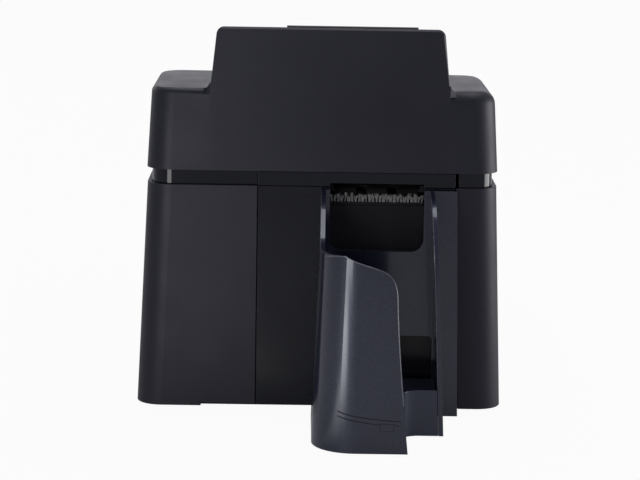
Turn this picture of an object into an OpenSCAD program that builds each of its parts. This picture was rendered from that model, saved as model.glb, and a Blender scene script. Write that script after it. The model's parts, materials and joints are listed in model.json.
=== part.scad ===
// Desktop printer for plastic cards, as an assembly of its separate pieces.
// X runs to the right seen from the card exit, Y to the rear and Z up.
// The origin lies on the table, under the middle of the body and its output hopper.

/* [Body] */
// Width of the base just above its feet
body_w = 234; // [224:1:250]
// Length of the body without the output hopper
body_len = 388; // [384:1:400]
// Height of the raised end above the table
body_h = 249; // [247:0.5:253]
// Height of the rubber feet
foot_h = 6.5; // [4:0.5:8]
// Radius of the upright corners of the casing
corner_r = 16; // [10:0.5:20]
// Thickness of the casing walls
wall = 2.8; // [2.4:0.1:3.2]
// Height of the base's upper edge above the table
seam_z = 149.5; // [148:0.5:150]
// How far each side of the base leans in from foot to seam
side_draft = 6.25; // [3:0.25:8]

/* [Band] */
// Height of the glossy band between base and lid
band_h = 9.3; // [7:0.1:11]
// How far the band lies behind the casing
band_inset = 3; // [2.5:0.1:4]

/* [Lid] */
// Height of the flat shoulders above the table
shoulder_z = 210.3; // [208:0.1:212]
// How far each side of the lid leans in
lid_draft = 2.7; // [1:0.1:4]
// Length of the flat shoulders behind the front face
lid_flat = 110; // [100:1:120]
// Height of the lid's top edge at the rear
lid_rear_z = 178; // [176:0.5:181]
// Rounding of the left shoulder
edge_left = 3.5; // [2:0.5:6]
// Rounding of the right shoulder
edge_right = 9; // [4:0.5:12]
// Distance of the lid's hinge line behind the front face
hinge_u = 350; // [344:1:354]
// Radius of the lid's hinge barrel
barrel_r = 4.5; // [4:0.1:5]
// Radius of the lid's hinge pin
hinge_pin_r = 2; // [1.5:0.1:2.4]

/* [Raised end] */
// Width of the raised end at shoulder level
hump_w = 151.3; // [146:0.1:156]
// Place of its middle, right of the body's middle
hump_x = 3.9; // [0:0.1:8]
// How far each of its sides leans in
hump_draft = 4.3; // [2:0.1:6]
// Length of its top
hump_len = 112; // [108:1:118]
// Fall of its top towards the rear, in degrees
hump_slope = 6; // [5:0.5:7]
// Rounding of its upper edges
hump_r = 5; // [3:0.5:8]
// Rounding between raised end and shoulders
hump_fillet = 3.5; // [2:0.5:5]

/* [Input door] */
// Width of the door in the raised end's top
door_w = 94; // [88:1:95]
// Middle of the door, right of the body's middle
door_x = 20.4; // [20:0.1:21]
// Length of the door
door_len = 92; // [88:1:94]
// Thickness of the door
door_t = 2.4; // [2:0.1:2.8]
// Width of the door's finger lip
lip_w = 82; // [70:1:84]
// Middle of the finger lip, right of the body's middle
lip_x = 17.3; // [16:0.1:20]

/* [Card] */
// Card width, across the path
card_w = 54; // [53.5:0.1:54.5]
// Card length, along the path
card_len = 85.6; // [85:0.1:86]
// Card thickness
card_t = 0.76; // [0.5:0.01:0.9]
// Middle of the card path, right of the body's middle
card_x = 34.5; // [33:0.1:36]
// Height of the level at which cards leave
exit_z = 147; // [146.5:0.1:147.5]
// Height of the level at which cards are picked
input_z = 163; // [162.5:0.1:163.5]
// Height of the level at which cards are printed
path_z = 155; // [154.8:0.1:155.2]

/* [Output hopper] */
// How far the hopper reaches in front of the body
hopper_reach = 87; // [80:1:92]
// Height of the hopper where it meets the body
hopper_h = 149; // [147:0.5:149]
// Width of the hopper at its foot
hopper_w = 82.2; // [78:0.1:84]
// Left side of the hopper's foot, left of the body's middle
hopper_left = 5; // [3:0.1:6]
// Thickness of the hopper walls
hopper_wall = 2.9; // [2.4:0.1:3.3]
// Rounding of the hopper's upright front corner
hopper_r = 15; // [10:0.5:18]
// Height of the floor that the cards drop on
floor_z = 27.5; // [24:0.5:32]
// Depth of the hopper's right side
hopper_side = 45; // [40:1:50]
// Width of the front wall at the table
front_wall_w = 58.4; // [54:0.1:60]

/* [Front panel] */
// Width of the glossy front panel at its top
fascia_w = 124; // [120:1:126]
// Left edge of the front panel, left of the body's middle
fascia_left = 40.5; // [38:0.5:42]
// How much wider the front panel is at its foot
fascia_flare = 5; // [3:0.5:6]
// How far the front panel lies behind the casing
fascia_set = 1.2; // [0.8:0.1:1.6]
// Thickness of the front panel
fascia_t = 3; // [2.6:0.1:3.2]
// Width of the card exit
exit_w = 59.2; // [58:0.1:60]
// Height of the card exit's upper edge
exit_top = 151.4; // [151:0.1:152]
// Height of the dark window's lower edge
window_z = 109.2; // [105:0.1:114]
// Rounding of the window's lower corners
window_r = 8; // [4:0.5:10]

/* [Antistatic brush] */
// Height at which the bristles start
brush_z = 139.2; // [138.6:0.1:139.8]
// Free length of the bristles
bristle_len = 6.2; // [5.6:0.1:6.4]
// Number of bristles in a row
bristles_per_row = 90; // [75:1:100]
// Number of rows
bristle_rows = 4; // [4:1:5]

/* [Control panel] */
// Length of the control panel in the right side
panel_len = 100; // [90:1:110]
// Height of the control panel
panel_h = 32; // [30:1:34]
// Distance of its middle behind the front face
panel_u = 66; // [60:1:90]
// Height of its middle above the table
panel_z = 124; // [120:1:126]
// Length of the display window
window_len = 52; // [46:1:56]
// Height of the display window
window_h = 16; // [12:1:18]
// Radius of the push buttons
button_r = 5; // [4.4:0.1:5.4]
// Travel of the push buttons
button_travel = 1; // [0.6:0.1:1.2]

/* [Mechanism] */
// Distance between the side frames
frame_gap = 68; // [67:0.1:70]
// Thickness of the side frames
plate_t = 2; // [1.6:0.1:2.4]
// Radius of the roller shafts
shaft_r = 3; // [2.6:0.1:3.4]
// Radius of the transport rollers and their belt pulleys
roller_r = 7; // [6.8:0.1:7.2]
// Radius of the platen roller and its belt pulley
platen_r = 10; // [9.8:0.1:10.2]
// Radius of the pick roller
pick_r = 6.5; // [6.2:0.1:6.6]
// Radius of the cleaning roller
clean_r = 8; // [7.6:0.1:8.4]
// Radius of the drive motor's pulley
motor_pulley_r = 5; // [4.8:0.1:5.4]
// Width of the toothed belts
belt_w = 6; // [5:0.1:6.4]
// Thickness of the toothed belts
belt_t = 1.2; // [1:0.1:1.4]
// Size of a gear tooth: pitch diameter over number of teeth
gear_module = 0.8; // [0.78:0.01:0.82]

/* [Hidden] */
$fn = 48;
// Gap between seated pieces
clear = 0.3;
// Radial running clearance of a shaft
run_gap = 0.05;
// Radial clearance of a piece fixed in its hole
fixed_gap = 0.02;
// How far cuts run past the faces that they cut
over = 2;
// Thickness of the slices that a loft runs between
sliver = 0.4;
// Sides of the round slices in a loft
loft_fn = 40;

// Places along Y
front_y = (hopper_reach - body_len) / 2;
rear_y = front_y + body_len;
hinge_y = front_y + hinge_u;

// Levels
lid_z = seam_z + band_h;
lid_half = body_w / 2 - side_draft + clear;
lid_slope = (shoulder_z - lid_rear_z) / (body_len - lid_flat);
hinge_z = shoulder_z - lid_slope * (hinge_u - lid_flat) - barrel_r;
hinge_gap = 0.6;
lug_in = 45;
lug_w = 26;
barrel_end = 98;
well_floor_t = 2;

// Points on an arc about a centre, from one angle to another
function arc(centre, radius, from, to, steps = 8) =
    [for (i = [0:steps]) let (a = from + (to - from) * i / steps)
        centre + radius * [cos(a), sin(a)]];
// Points on a cubic curve with four control points
function curve(p, steps = 10) =
    [for (i = [0:steps]) let (t = i / steps, s = 1 - t)
        s * s * s * p[0] + 3 * s * s * t * p[1] + 3 * s * t * t * p[2] + t * t * t * p[3]];
// Half width of the base at a height
function base_half(z) = body_w / 2 - side_draft * (z - foot_h) / (seam_z - foot_h);

// Box given by its low corner and its high corner
module box(low, high) {
    translate(low)
        cube(high - low);
}
// Cylinder along X, from x0 to x1
module rod_x(x0, x1, r) {
    translate([x0, 0, 0])
        rotate([0, 90, 0])
            cylinder(r = r, h = x1 - x0);
}
// Outline in Y and Z drawn out along X, from x0 to x1
module along_x(x0, x1) {
    translate([x0, 0, 0])
        rotate([90, 0, 90])
            linear_extrude(x1 - x0)
                children();
}
// Outline in X and Z drawn out along Y, from y0 to y1
module along_y(y0, y1) {
    translate([0, y1, 0])
        rotate([90, 0, 0])
            linear_extrude(y1 - y0)
                children();
}
// Rectangle with round corners, middle on x = 0, from y0 to y1
module round_plan(half, y0, y1, r) {
    for (side = [-1, 1])
        for (y = [y0 + r, y1 - r])
            translate([side * (half - r), y])
                circle(r = r);
    translate([r - half, y0])
        square([2 * (half - r), y1 - y0]);
    translate([-half, y0 + r])
        square([2 * half, y1 - y0 - 2 * r]);
}
// Rectangle with round corners, given by two corners
module round_rect(low, high, r) {
    translate([(low[0] + high[0]) / 2, 0])
        round_plan((high[0] - low[0]) / 2, low[1], high[1], r);
}

// Casing

// Lower casing between two heights, set in by a wall thickness
module base_loft(inset, z0, z1) {
    hull()
        for (z = [z0, z1 - sliver])
            for (side = [-1, 1])
                for (y = [front_y + corner_r, rear_y - corner_r])
                    translate([side * (base_half(z) - corner_r), y, z])
                        cylinder(r = corner_r - inset, h = sliver, $fn = loft_fn);
}
// Disc with a rounded upper edge, its top on z = 0
module puck(r, edge) {
    rotate_extrude($fn = loft_fn)
        polygon(concat([[0, -edge], [r, -edge]], arc([r - edge, -edge], edge, 0, 90, 6), [[0, 0]]));
}
// Lid without its raised end, set in by a wall thickness
module lid_loft(inset) {
    top_half = lid_half - lid_draft - corner_r;
    foot = inset > 0 ? over : 0;
    hull() {
        for (side = [-1, 1])
            for (y = [front_y + corner_r, rear_y - corner_r])
                translate([side * (lid_half - corner_r), y, lid_z - foot])
                    cylinder(r = corner_r - inset, h = sliver, $fn = loft_fn);
        for (s = [[-1, edge_left], [1, edge_right]])
            for (p = [[front_y + corner_r, shoulder_z], [front_y + lid_flat - corner_r, shoulder_z],
                    [rear_y - corner_r, lid_rear_z]])
                translate([s[0] * top_half, p[0], p[1] - inset])
                    puck(corner_r - inset, max(s[1] - inset, sliver));
    }
}
// Raised end, set in by a wall thickness
module hump_loft(inset) {
    low_z = shoulder_z - hump_r - wall;
    drop = hump_len * tan(hump_slope);
    nose = 0.3 * hump_r;
    hull() {
        for (side = [-1, 1]) {
            x = hump_x + side * (hump_w / 2 - hump_draft - hump_r);
            for (p = [[nose, 0], [hump_len, drop]])
                translate([x, front_y + inset + p[0] + sliver, body_h - hump_r - p[1]])
                    rotate([90, 0, 0])
                        cylinder(r = hump_r - inset, h = sliver, $fn = loft_fn);
            translate([x, front_y + inset + sliver, body_h - hump_r])
                rotate([90, 0, 0])
                    cylinder(r = hump_r - inset - 0.25 * hump_r, h = sliver, $fn = loft_fn);
        }
        box([hump_x - hump_w / 2 + inset, front_y + inset, low_z],
            [hump_x + hump_w / 2 - inset, front_y + lid_flat + hump_len * 0.35 - inset, low_z + sliver]);
    }
}
// Hollow between raised end and shoulder, filled with a concave rounding
module hump_fillets() {
    half = hump_w / 2 - hump_draft * hump_fillet / (body_h - shoulder_z) / 2;
    for (side = [-1, 1])
        translate([hump_x + side * half, 0, shoulder_z])
            along_y(front_y, front_y + lid_flat - corner_r)
                polygon([for (p = concat([[-hump_fillet, -hump_fillet], [hump_fillet, -hump_fillet]],
                    arc([hump_fillet, hump_fillet], hump_fillet, 270, 180, 6), [[-hump_fillet, hump_fillet]]))
                    [side * p[0], p[1]]]);
}
// Places its children on the raised end's sloping top: Y runs down it, Z out of it
module on_hump() {
    translate([0, front_y, body_h])
        rotate([-hump_slope, 0, 0])
            children();
}

// Sizes of the input door's frame and hinge, in the frame of the sloping top
door_edge = 8;
door_end = door_edge + door_len;
door_pin_r = 1;
door_lug = 4;
door_gap = 0.4;
lip_reach = 6;
lip_len = 12;
lip_t = 1.5;

// Hole for the input door
module door_hole() {
    on_hump() {
        box([door_x - door_w / 2 - door_gap, door_edge - door_gap, -hump_r - wall],
            [door_x + door_w / 2 + door_gap, door_end, over]);
        translate([0, door_end, -door_t])
            rod_x(door_x - door_w / 2 - door_gap, door_x + door_w / 2 + door_gap, door_t + door_gap);
        box([door_x - door_w / 2 - door_gap, door_end - over, -door_t],
            [door_x + door_w / 2 + door_gap, door_end + door_t + door_gap, over]);
    }
}
// Lugs that hold the door's hinge pins, and the ledges that the closed door rests on
module door_lugs() {
    on_hump()
        for (side = [-1, 1]) {
            x = door_x + side * (door_w / 2 + door_gap + door_lug / 2);
            box([x - door_lug / 2, door_end - door_lug, -door_t * 2 - wall / 2],
                [x + door_lug / 2, door_end + door_lug, -wall / 2]);
            box([x - door_lug / 2, door_edge, -2 * door_t - clear], [x + door_lug / 2, door_edge + door_lug,
                -wall / 2]);
            box([x - door_lug, door_edge, -2 * door_t - clear], [x + door_lug, door_edge + door_lug,
                -door_t - clear]);
        }
}
// Hinge pins of the input door, or their bores
module door_pins(r) {
    reach = door_lug + door_gap;
    on_hump()
        for (side = [-1, 1])
            translate([door_x + side * door_w / 2, door_end, -door_t])
                rod_x(-reach, reach, r);
}

module lid_shell() {
    color([0.15, 0.15, 0.17])
        difference() {
            union() {
                difference() {
                    union() {
                        intersection() {
                            lid_loft(0);
                            box([-body_w, front_y - over, lid_z], [body_w, hinge_y, body_h]);
                        }
                        hump_loft(0);
                        hump_fillets();
                    }
                    lid_loft(wall);
                    hump_loft(wall);
                    door_hole();
                }
                door_lugs();
                translate([0, hinge_y, hinge_z])
                    for (x = [[-barrel_end, -lug_in - lug_w - clear], [-lug_in + clear, lug_in - clear],
                            [lug_in + lug_w + clear, barrel_end]])
                        rod_x(x[0], x[1], barrel_r);
            }
            translate([0, hinge_y, hinge_z]) {
                rod_x(-barrel_end - over, barrel_end + over, hinge_pin_r + run_gap);
                for (x = [-lug_in - lug_w, lug_in])
                    rod_x(x - clear, x + lug_w + clear, barrel_r + hinge_gap);
            }
            door_pins(door_pin_r + fixed_gap);
        }
}
module rear_cover() {
    color([0.15, 0.15, 0.17])
        difference() {
            union() {
                difference() {
                    intersection() {
                        lid_loft(0);
                        box([-body_w, hinge_y + hinge_gap, lid_z], [body_w, rear_y + over, body_h]);
                    }
                    lid_loft(wall);
                    translate([0, hinge_y, hinge_z])
                        rod_x(-body_w, body_w, barrel_r + hinge_gap);
                }
                for (x = [-lug_in - lug_w, lug_in]) {
                    translate([0, hinge_y, hinge_z])
                        rod_x(x, x + lug_w, barrel_r);
                    box([x, hinge_y + hinge_gap, hinge_z - barrel_r],
                        [x + lug_w, hinge_y + 2 * barrel_r, hinge_z + barrel_r / 2]);
                }
            }
            translate([0, hinge_y, hinge_z])
                rod_x(-barrel_end, barrel_end, hinge_pin_r + fixed_gap);
        }
}
module lid_hinge_pin() {
    color("silver")
        translate([0, hinge_y, hinge_z])
            rod_x(-barrel_end, barrel_end, hinge_pin_r);
}
module input_door() {
    color([0.13, 0.13, 0.15])
        difference() {
            on_hump() {
                box([door_x - door_w / 2, door_edge, -door_t], [door_x + door_w / 2, door_end, 0]);
                translate([0, door_end, -door_t])
                    rod_x(door_x - door_w / 2, door_x + door_w / 2, door_t);
                box([lip_x - lip_w / 2, door_edge, -door_t / 2], [lip_x + lip_w / 2, lip_len + over, lip_t]);
                along_x(lip_x - lip_w / 2, lip_x + lip_w / 2)
                    polygon([[lip_reach, clear], [lip_len, clear], [lip_len, lip_t], [lip_reach + lip_t / 2, lip_t],
                        [lip_reach, lip_t / 2]]);
                for (x = [-1, 0, 1])
                    translate([door_x + x * door_w / 3, 0, 0])
                        box([-wall / 2, door_edge + door_lug * 2, -2 * door_t],
                            [wall / 2, door_end - 2 * door_lug, -door_t / 2]);
            }
            door_pins(door_pin_r + run_gap);
        }
}
module door_hinge_pins() {
    color("silver")
        door_pins(door_pin_r);
}

// Base and front

notch_l = 35;
notch_h = 1.9;
pan_t = 2.8;
foot_r = 9;
foot_in = 26;
// Distance of the front feet behind the front face
foot_fore = 50;
port_z = 34;
inlet = [27.2, 20];
inlet_x = -80;
usb = [12, 11];
usb_x = -46;
network = [16, 13.4];
network_x = -20;
port_depth = 18;
vent = [2.4, 36];
vent_pitch = 6;
vent_count = 9;
vent_x = 30;
lean = atan(side_draft / (seam_z - foot_h));

fascia_right = fascia_w - fascia_left;
fascia_z = foot_h + notch_h;
fascia_top = lid_z - clear;
fascia_y = front_y + fascia_set;

// Outline of the front panel in X and Z, grown by a gap
module fascia_outline(gap, z0, z1) {
    flare = fascia_flare / (fascia_top - fascia_z);
    polygon([[-fascia_left - gap, z0], [fascia_right + gap + flare * (fascia_top - z0), z0],
        [fascia_right + gap + flare * (fascia_top - z1), z1], [-fascia_left - gap, z1]]);
}
// Outline of the card exit and of the window below it
module exit_outline(top) {
    round_rect([card_x - exit_w / 2, window_z], [card_x + exit_w / 2, brush_z], window_r);
    translate([card_x - exit_w / 2, window_z + window_r])
        square([exit_w, top - window_z - window_r]);
}
// Places its children on the right side of the base: X points out of the wall
module on_side() {
    translate([base_half(panel_z), front_y + panel_u, panel_z])
        rotate([0, -lean, 0])
            children();
}
// Rectangle through the rear wall
module rear_hole(x, size, gap) {
    box([x - size[0] / 2 - gap, rear_y - wall - over, port_z - size[1] / 2 - gap],
        [x + size[0] / 2 + gap, rear_y + over, port_z + size[1] / 2 + gap]);
}

module base_shell() {
    color([0.15, 0.15, 0.17])
        difference() {
            base_loft(0, foot_h, seam_z);
            translate([0, 0, -over])
                base_loft(wall, foot_h, seam_z + 2 * over);
            along_y(front_y - over, front_y + wall + over)
                fascia_outline(clear, foot_h - over, seam_z + over);
            box([-fascia_left - notch_l, front_y - over, foot_h - over],
                [fascia_right + fascia_flare, front_y + corner_r, foot_h + notch_h]);
            on_side()
                box([-wall - over, -panel_len / 2, -panel_h / 2], [over, panel_len / 2, panel_h / 2]);
            rear_hole(inlet_x, inlet, clear / 2);
            rear_hole(usb_x, usb, clear / 2);
            rear_hole(network_x, network, clear / 2);
            for (i = [0:vent_count - 1])
                translate([vent_x + i * vent_pitch, rear_y - wall - over, port_z - vent[1] / 4])
                    cube([vent[0], wall + 2 * over, vent[1]]);
        }
}
module base_pan() {
    color([0.12, 0.12, 0.13])
        difference() {
            base_loft(wall + clear, foot_h, foot_h + pan_t);
            box([-fascia_left - notch_l - clear, front_y, foot_h - over],
                [fascia_right + fascia_flare + corner_r, fascia_y + fascia_t + clear, foot_h + pan_t + over]);
        }
}
module rubber_feet() {
    color([0.08, 0.08, 0.08])
        for (side = [-1, 1])
            for (y = [front_y + foot_fore, rear_y - foot_in])
                translate([side * (body_w / 2 - foot_in), y, 0])
                    rotate_extrude()
                        polygon([[0, 0], [foot_r - notch_h / 2, 0], [foot_r, notch_h / 2], [foot_r, foot_h],
                            [0, foot_h]]);
}
module front_panel() {
    color([0.08, 0.09, 0.11])
        difference() {
            union() {
                along_y(fascia_y, fascia_y + fascia_t)
                    fascia_outline(0, fascia_z, seam_z - clear);
                box([-fascia_left, fascia_y, foot_h + pan_t + clear], [fascia_t - fascia_left,
                    fascia_y + 3 * fascia_t, seam_z - clear]);
            }
            along_y(fascia_y - over, fascia_y + fascia_t + over)
                exit_outline(exit_top);
            for (x = tongue_x)
                for (z = tongue_z)
                    translate([x - clear, fascia_y - over, z - clear])
                        cube([tongue[0] + 2 * clear, 2 * over + fascia_t, tongue[2] + 2 * clear]);
        }
}
module band_front() {
    color([0.05, 0.06, 0.09])
        along_y(fascia_y, fascia_y + fascia_t)
            difference() {
                fascia_outline(0, seam_z, fascia_top);
                exit_outline(exit_top);
            }
}
module band_trim() {
    ring_half = lid_half - band_inset;
    ring_y = [front_y + band_inset, rear_y - band_inset];
    ring_r = corner_r - band_inset;
    ring_t = wall - clear;
    color([0.05, 0.06, 0.09])
        difference() {
            translate([0, 0, seam_z - band_h / 2])
                linear_extrude(band_h * 1.5 - clear)
                    difference() {
                        round_plan(ring_half - clear, ring_y[0], ring_y[1], ring_r);
                        round_plan(ring_half - clear - ring_t, ring_y[0] + ring_t, ring_y[1] - ring_t,
                            ring_r - ring_t);
                    }
            box([-fascia_left - clear, front_y, seam_z - band_h],
                [fascia_right + fascia_flare / 2, front_y + corner_r, lid_z + over]);
        }
}

// Output hopper

back_t = 3.2;
flange_w = 7.6;
flange_z = 2.6;
hopper_foot = 0.8;
hopper_lean = [4.3, 7.2, 2.5];
front_rise_share = 0.81;
recess = [8, 20, 71, 55];
recess_r = 3;
rim_h = 2.5;
skirt_r = 12;
floor_t = 2.5;
back_y = front_y - clear;
tongue = [12, 8, 3];
tongue_x = [14, 46];
tongue_z = [10, 88];

// The hopper's walls as one tapered body, set in by a wall thickness
module hopper_loft(inset) {
    left = -hopper_left;
    right = hopper_w - hopper_left;
    run = inset > 0 ? over : 0;
    hull()
        for (s = [0, 1]) {
            z = s == 0 ? hopper_foot - run : hopper_h - sliver + run;
            x0 = left + s * hopper_lean[0];
            x1 = right - s * hopper_lean[1];
            y = front_y - hopper_reach + s * hopper_lean[2];
            translate([x0 + hopper_r, y + hopper_r, z])
                cylinder(r = hopper_r - inset, h = sliver, $fn = loft_fn);
            translate([x1 - hopper_r, y + hopper_r, z])
                cylinder(r = hopper_r - inset, h = sliver, $fn = loft_fn);
            box([x0 + inset, back_y - hopper_wall, z], [x1 - inset, back_y + run, z + sliver]);
        }
}
// Space above the left wall's curved edge, in Y and Z, measured from the body's front face
module side_cut() {
    rise = [for (p = [[0, 1.003], [0.287, 0.973], [0.69, 0.819], [1.011, front_rise_share]])
        [-p[0] * hopper_reach, p[1] * hopper_h]];
    polygon(concat(curve(rise, 14), [[-hopper_reach - over, front_rise_share * hopper_h],
        [-hopper_reach - over, hopper_h + over], [0, hopper_h + over]]));
}
// Space in front of the short right wall, in Y and Z
module right_cut() {
    edge = curve([[-hopper_side, 0.62 * hopper_h], [-hopper_side, 0.86 * hopper_h],
        [-0.75 * hopper_side, 0.97 * hopper_h], [-back_t, hopper_h]], 10);
    polygon(concat([[-hopper_reach - over, -over], [-hopper_side, -over]], edge,
        [[-back_t, hopper_h + over], [-hopper_reach - over, hopper_h + over]]));
}
// Space beside and above the front wall, in X and Z, from its sloping top round to the table
module front_cut() {
    x0 = -hopper_left;
    w = front_wall_w;
    top = front_rise_share * hopper_h;
    edge = concat([[x0, top]], curve([[x0 + 0.3 * w, top], [x0 + 0.46 * w, 0.965 * top],
        [x0 + 0.58 * w, 0.955 * top], [x0 + 0.71 * w, 0.932 * top]], 5),
        curve([[x0 + 0.73 * w, 0.927 * top], [x0 + 0.82 * w, 0.9 * top], [x0 + 0.86 * w, 0.86 * top],
        [x0 + 0.862 * w, 0.78 * top]], 10),
        curve([[x0 + 0.863 * w, 0.76 * top], [x0 + 0.88 * w, 0.57 * top], [x0 + 0.93 * w, 0.3 * top],
        [x0 + w, -over]], 8));
    polygon(concat(edge, [[hopper_w + over, -over], [hopper_w + over, hopper_h + over],
        [x0, hopper_h + over]]));
}
module output_hopper() {
    right = hopper_w - hopper_left;
    color([0.26, 0.28, 0.33]) {
        difference() {
            hopper_loft(0);
            hopper_loft(hopper_wall);
            translate([0, front_y, 0])
                along_x(-hopper_w, hopper_w * 0.7)
                    side_cut();
            translate([0, front_y, 0])
                along_x(hopper_w * 0.7, hopper_w + over)
                    right_cut();
            along_y(front_y - hopper_reach - over, front_y - hopper_side - skirt_r)
                front_cut();
        }
        difference() {
            along_y(back_y - back_t, back_y)
                polygon([[-hopper_left, hopper_foot], [right + flange_w / 2, flange_z],
                    [right + 1.5 * flange_w, flange_z], [right + flange_w, hopper_h - hopper_foot],
                    [hopper_lean[0] - hopper_left, hopper_h - hopper_foot]]);
            along_y(back_y - back_t - over, back_y + over)
                exit_outline(hopper_h + over);
            along_y(back_y - back_t - over, back_y + over)
                round_rect([recess[0], recess[1]], [recess[2], recess[3]], recess_r);
        }
        for (x = tongue_x)
            for (z = tongue_z)
                translate([x, back_y - sliver, z])
                    cube([tongue[0], tongue[1], tongue[2]]);
    }
}
// Plan of the hopper floor: the whole width near the body, only the left part further out
module floor_plan(inset) {
    x1 = front_wall_w - hopper_left - 0.06 * front_wall_w - inset;
    y1 = front_y - hopper_side + inset;
    y2 = front_y - hopper_reach - over;
    polygon(concat([[-hopper_w, back_y - back_t - clear / 2], [-hopper_w, y2], [x1, y2]],
        arc([x1 + skirt_r + inset, y1 - skirt_r - inset], skirt_r + inset, 180, 90, 8),
        [[hopper_w + over, y1], [hopper_w + over, back_y - back_t - clear / 2]]));
}
module hopper_floor() {
    color([0.34, 0.36, 0.41])
        intersection() {
            hopper_loft(hopper_wall + clear / 2);
            union() {
                translate([0, 0, floor_z - floor_t])
                    linear_extrude(floor_t)
                        floor_plan(0);
                translate([0, 0, hopper_foot])
                    linear_extrude(floor_z + rim_h - hopper_foot)
                        difference() {
                            floor_plan(0);
                            floor_plan(floor_t);
                        }
            }
        }
}

// Brush

holder_y = fascia_y + fascia_t + clear;
holder_t = 2.4;
brush_depth = 4.4;
brush_t = 2;
bristle_r = 0.17;
bristle_lean = 1.1;
bristle_tufts = 11;
root = 0.4;

module brush_holder() {
    x0 = card_x - exit_w / 2 - brush_t;
    x1 = card_x + exit_w / 2 + brush_t;
    top = brush_z - brush_t;
    color([0.06, 0.06, 0.07]) {
        box([x0, holder_y, window_z - 2 * brush_t], [x1, holder_y + holder_t, top]);
        box([x0, holder_y, top - brush_t], [x1, holder_y + brush_depth + 2 * root, top]);
        for (x = [x0, x1 - brush_t + clear])
            box([x, holder_y, top - brush_t], [x + brush_t - clear, holder_y + brush_depth + 2 * root,
                brush_z]);
    }
}
// Rows of upright bristles that lean a little to and fro in tufts, as one solid
module bristles() {
    pitch = (exit_w - 2 * brush_t) / bristles_per_row;
    row_gap = (brush_depth - 2 * brush_t * 0.5) / bristle_rows;
    strands = [for (i = [0:bristles_per_row - 1], j = [0:bristle_rows - 1])
        let (x = card_x + (i - (bristles_per_row - 1) / 2) * pitch + (j % 2) * pitch / 2,
            y = holder_y + 2 * root + (j + 1) * row_gap,
            lean = bristle_lean * sin(360 * bristle_tufts * i / bristles_per_row) * 0.35
                + bristle_lean * 0.5 * sin(97 * i * 0.04),
            tip = brush_z + bristle_len * (1 - 0.06 * cos(360 * bristle_tufts * i / bristles_per_row)
                - 0.04 * sin(67 * (i + 3 * j))))
        for (k = [0:1]) for (a = [0:2])
            [x + k * lean, y, k == 0 ? brush_z - root : tip]
                + bristle_r * (1 - 0.25 * k) * [cos(120 * a + 30), sin(120 * a + 30), 0]];
    count = len(strands) / 6;
    polyhedron(strands, [for (n = [0:count - 1]) let (b = 6 * n)
        each [[b, b + 2, b + 1][0] >= 0 ? [b, b + 1, b + 2] : [], [b + 5, b + 4, b + 3],
            [b, b + 3, b + 4], [b, b + 4, b + 1], [b + 1, b + 4, b + 5], [b + 1, b + 5, b + 2],
            [b + 2, b + 5, b + 3], [b + 2, b + 3, b]]]);
}
module static_brush() {
    color([0.62, 0.62, 0.6])
        union() {
            box([card_x - exit_w / 2 + clear / 2, holder_y + root, brush_z - brush_t],
                [card_x + exit_w / 2 - clear / 2, holder_y + root + brush_depth, brush_z]);
            bristles();
        }
}

// Mechanism: stations behind the front face and levels above the table

// Stations that the others are measured from
exit_u = 18;
pick_u = 78;
platen_u = 235;
well_u = 8;
// How far each station lies before or behind the platen roller
feed_lead = 75;
tilt_lead = 89;
take_up_lead = 38;
motor_lead = 10;
cam_lag = 15;
head_lag = 23;
supply_lag = 48;
rear_lag = 56;
frame_lag = 87;
tilt_u = platen_u - tilt_lead;
feed_u = platen_u - feed_lead;
take_up_u = platen_u - take_up_lead;
motor_u = platen_u - motor_lead;
cam_u = platen_u + cam_lag;
head_u = platen_u + head_lag;
supply_u = platen_u + supply_lag;
rear_u = platen_u + rear_lag;
frame_u = [fascia_set + fascia_t + clear, platen_u + frame_lag];
// How far levels lie above the printing level, and the motor above the table
take_up_z = path_z + 23;
supply_z = path_z + 16;
cam_z = path_z + 13;
head_z = path_z + 24;
frame_low_z = path_z + 17;
frame_high_z = path_z + 28;
motor_z = 98;
pan_z = foot_h + pan_t;
frame_x = [card_x - frame_gap / 2, card_x + frame_gap / 2];
bush_r = 5;
bush_flange = 1;
clean_z = path_z + card_t + clean_r;
// Level of the pick roller's shaft: its crown stands a little above the stack's floor
pick_crown = 0.5;
pick_z = input_z + pick_crown - pick_r;
tyre_half = 26;
pulley_gap = 1;
pulley_rim = 1.4;
guide_t = 2;
well_wall = 2;
well_room = 16;
well_h = body_h - input_z - well_room;
card_play = 1.2;
card_slit = 1.7 * card_t;
well_len = card_len + card_play + 2 * well_wall;
tilt_len = 44;
tilt_pin_r = 1.5;

// Places its children at a station, on a level
module at(u, z) {
    translate([0, front_y + u, z])
        children();
}
// Toothed gear wheel in the XY plane: involute flanks from the root to the tip
module gear(teeth, width, bore) {
    pitch_r = gear_module * teeth / 2;
    base_r = pitch_r * cos(20);
    tip_r = pitch_r + 0.85 * gear_module;
    root_r = pitch_r - 1.2 * gear_module;
    half = 90 / teeth * 0.93 + 0.854;
    reach = sqrt(tip_r * tip_r / base_r / base_r - 1);
    flank = [for (i = [0:3]) let (t = reach * i / 3)
        [base_r * sqrt(1 + t * t), t * 180 / PI - atan(t) - half]];
    tooth = concat([[min(root_r, base_r), -half]], flank, [for (i = [3:-1:0]) [flank[i][0], -flank[i][1]]],
        [[min(root_r, base_r), half]]);
    linear_extrude(width)
        difference() {
            polygon([for (k = [0:teeth - 1]) for (p = tooth)
                p[0] * [cos(p[1] + 360 * k / teeth), sin(p[1] + 360 * k / teeth)]]);
            circle(r = bore);
        }
}
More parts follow.
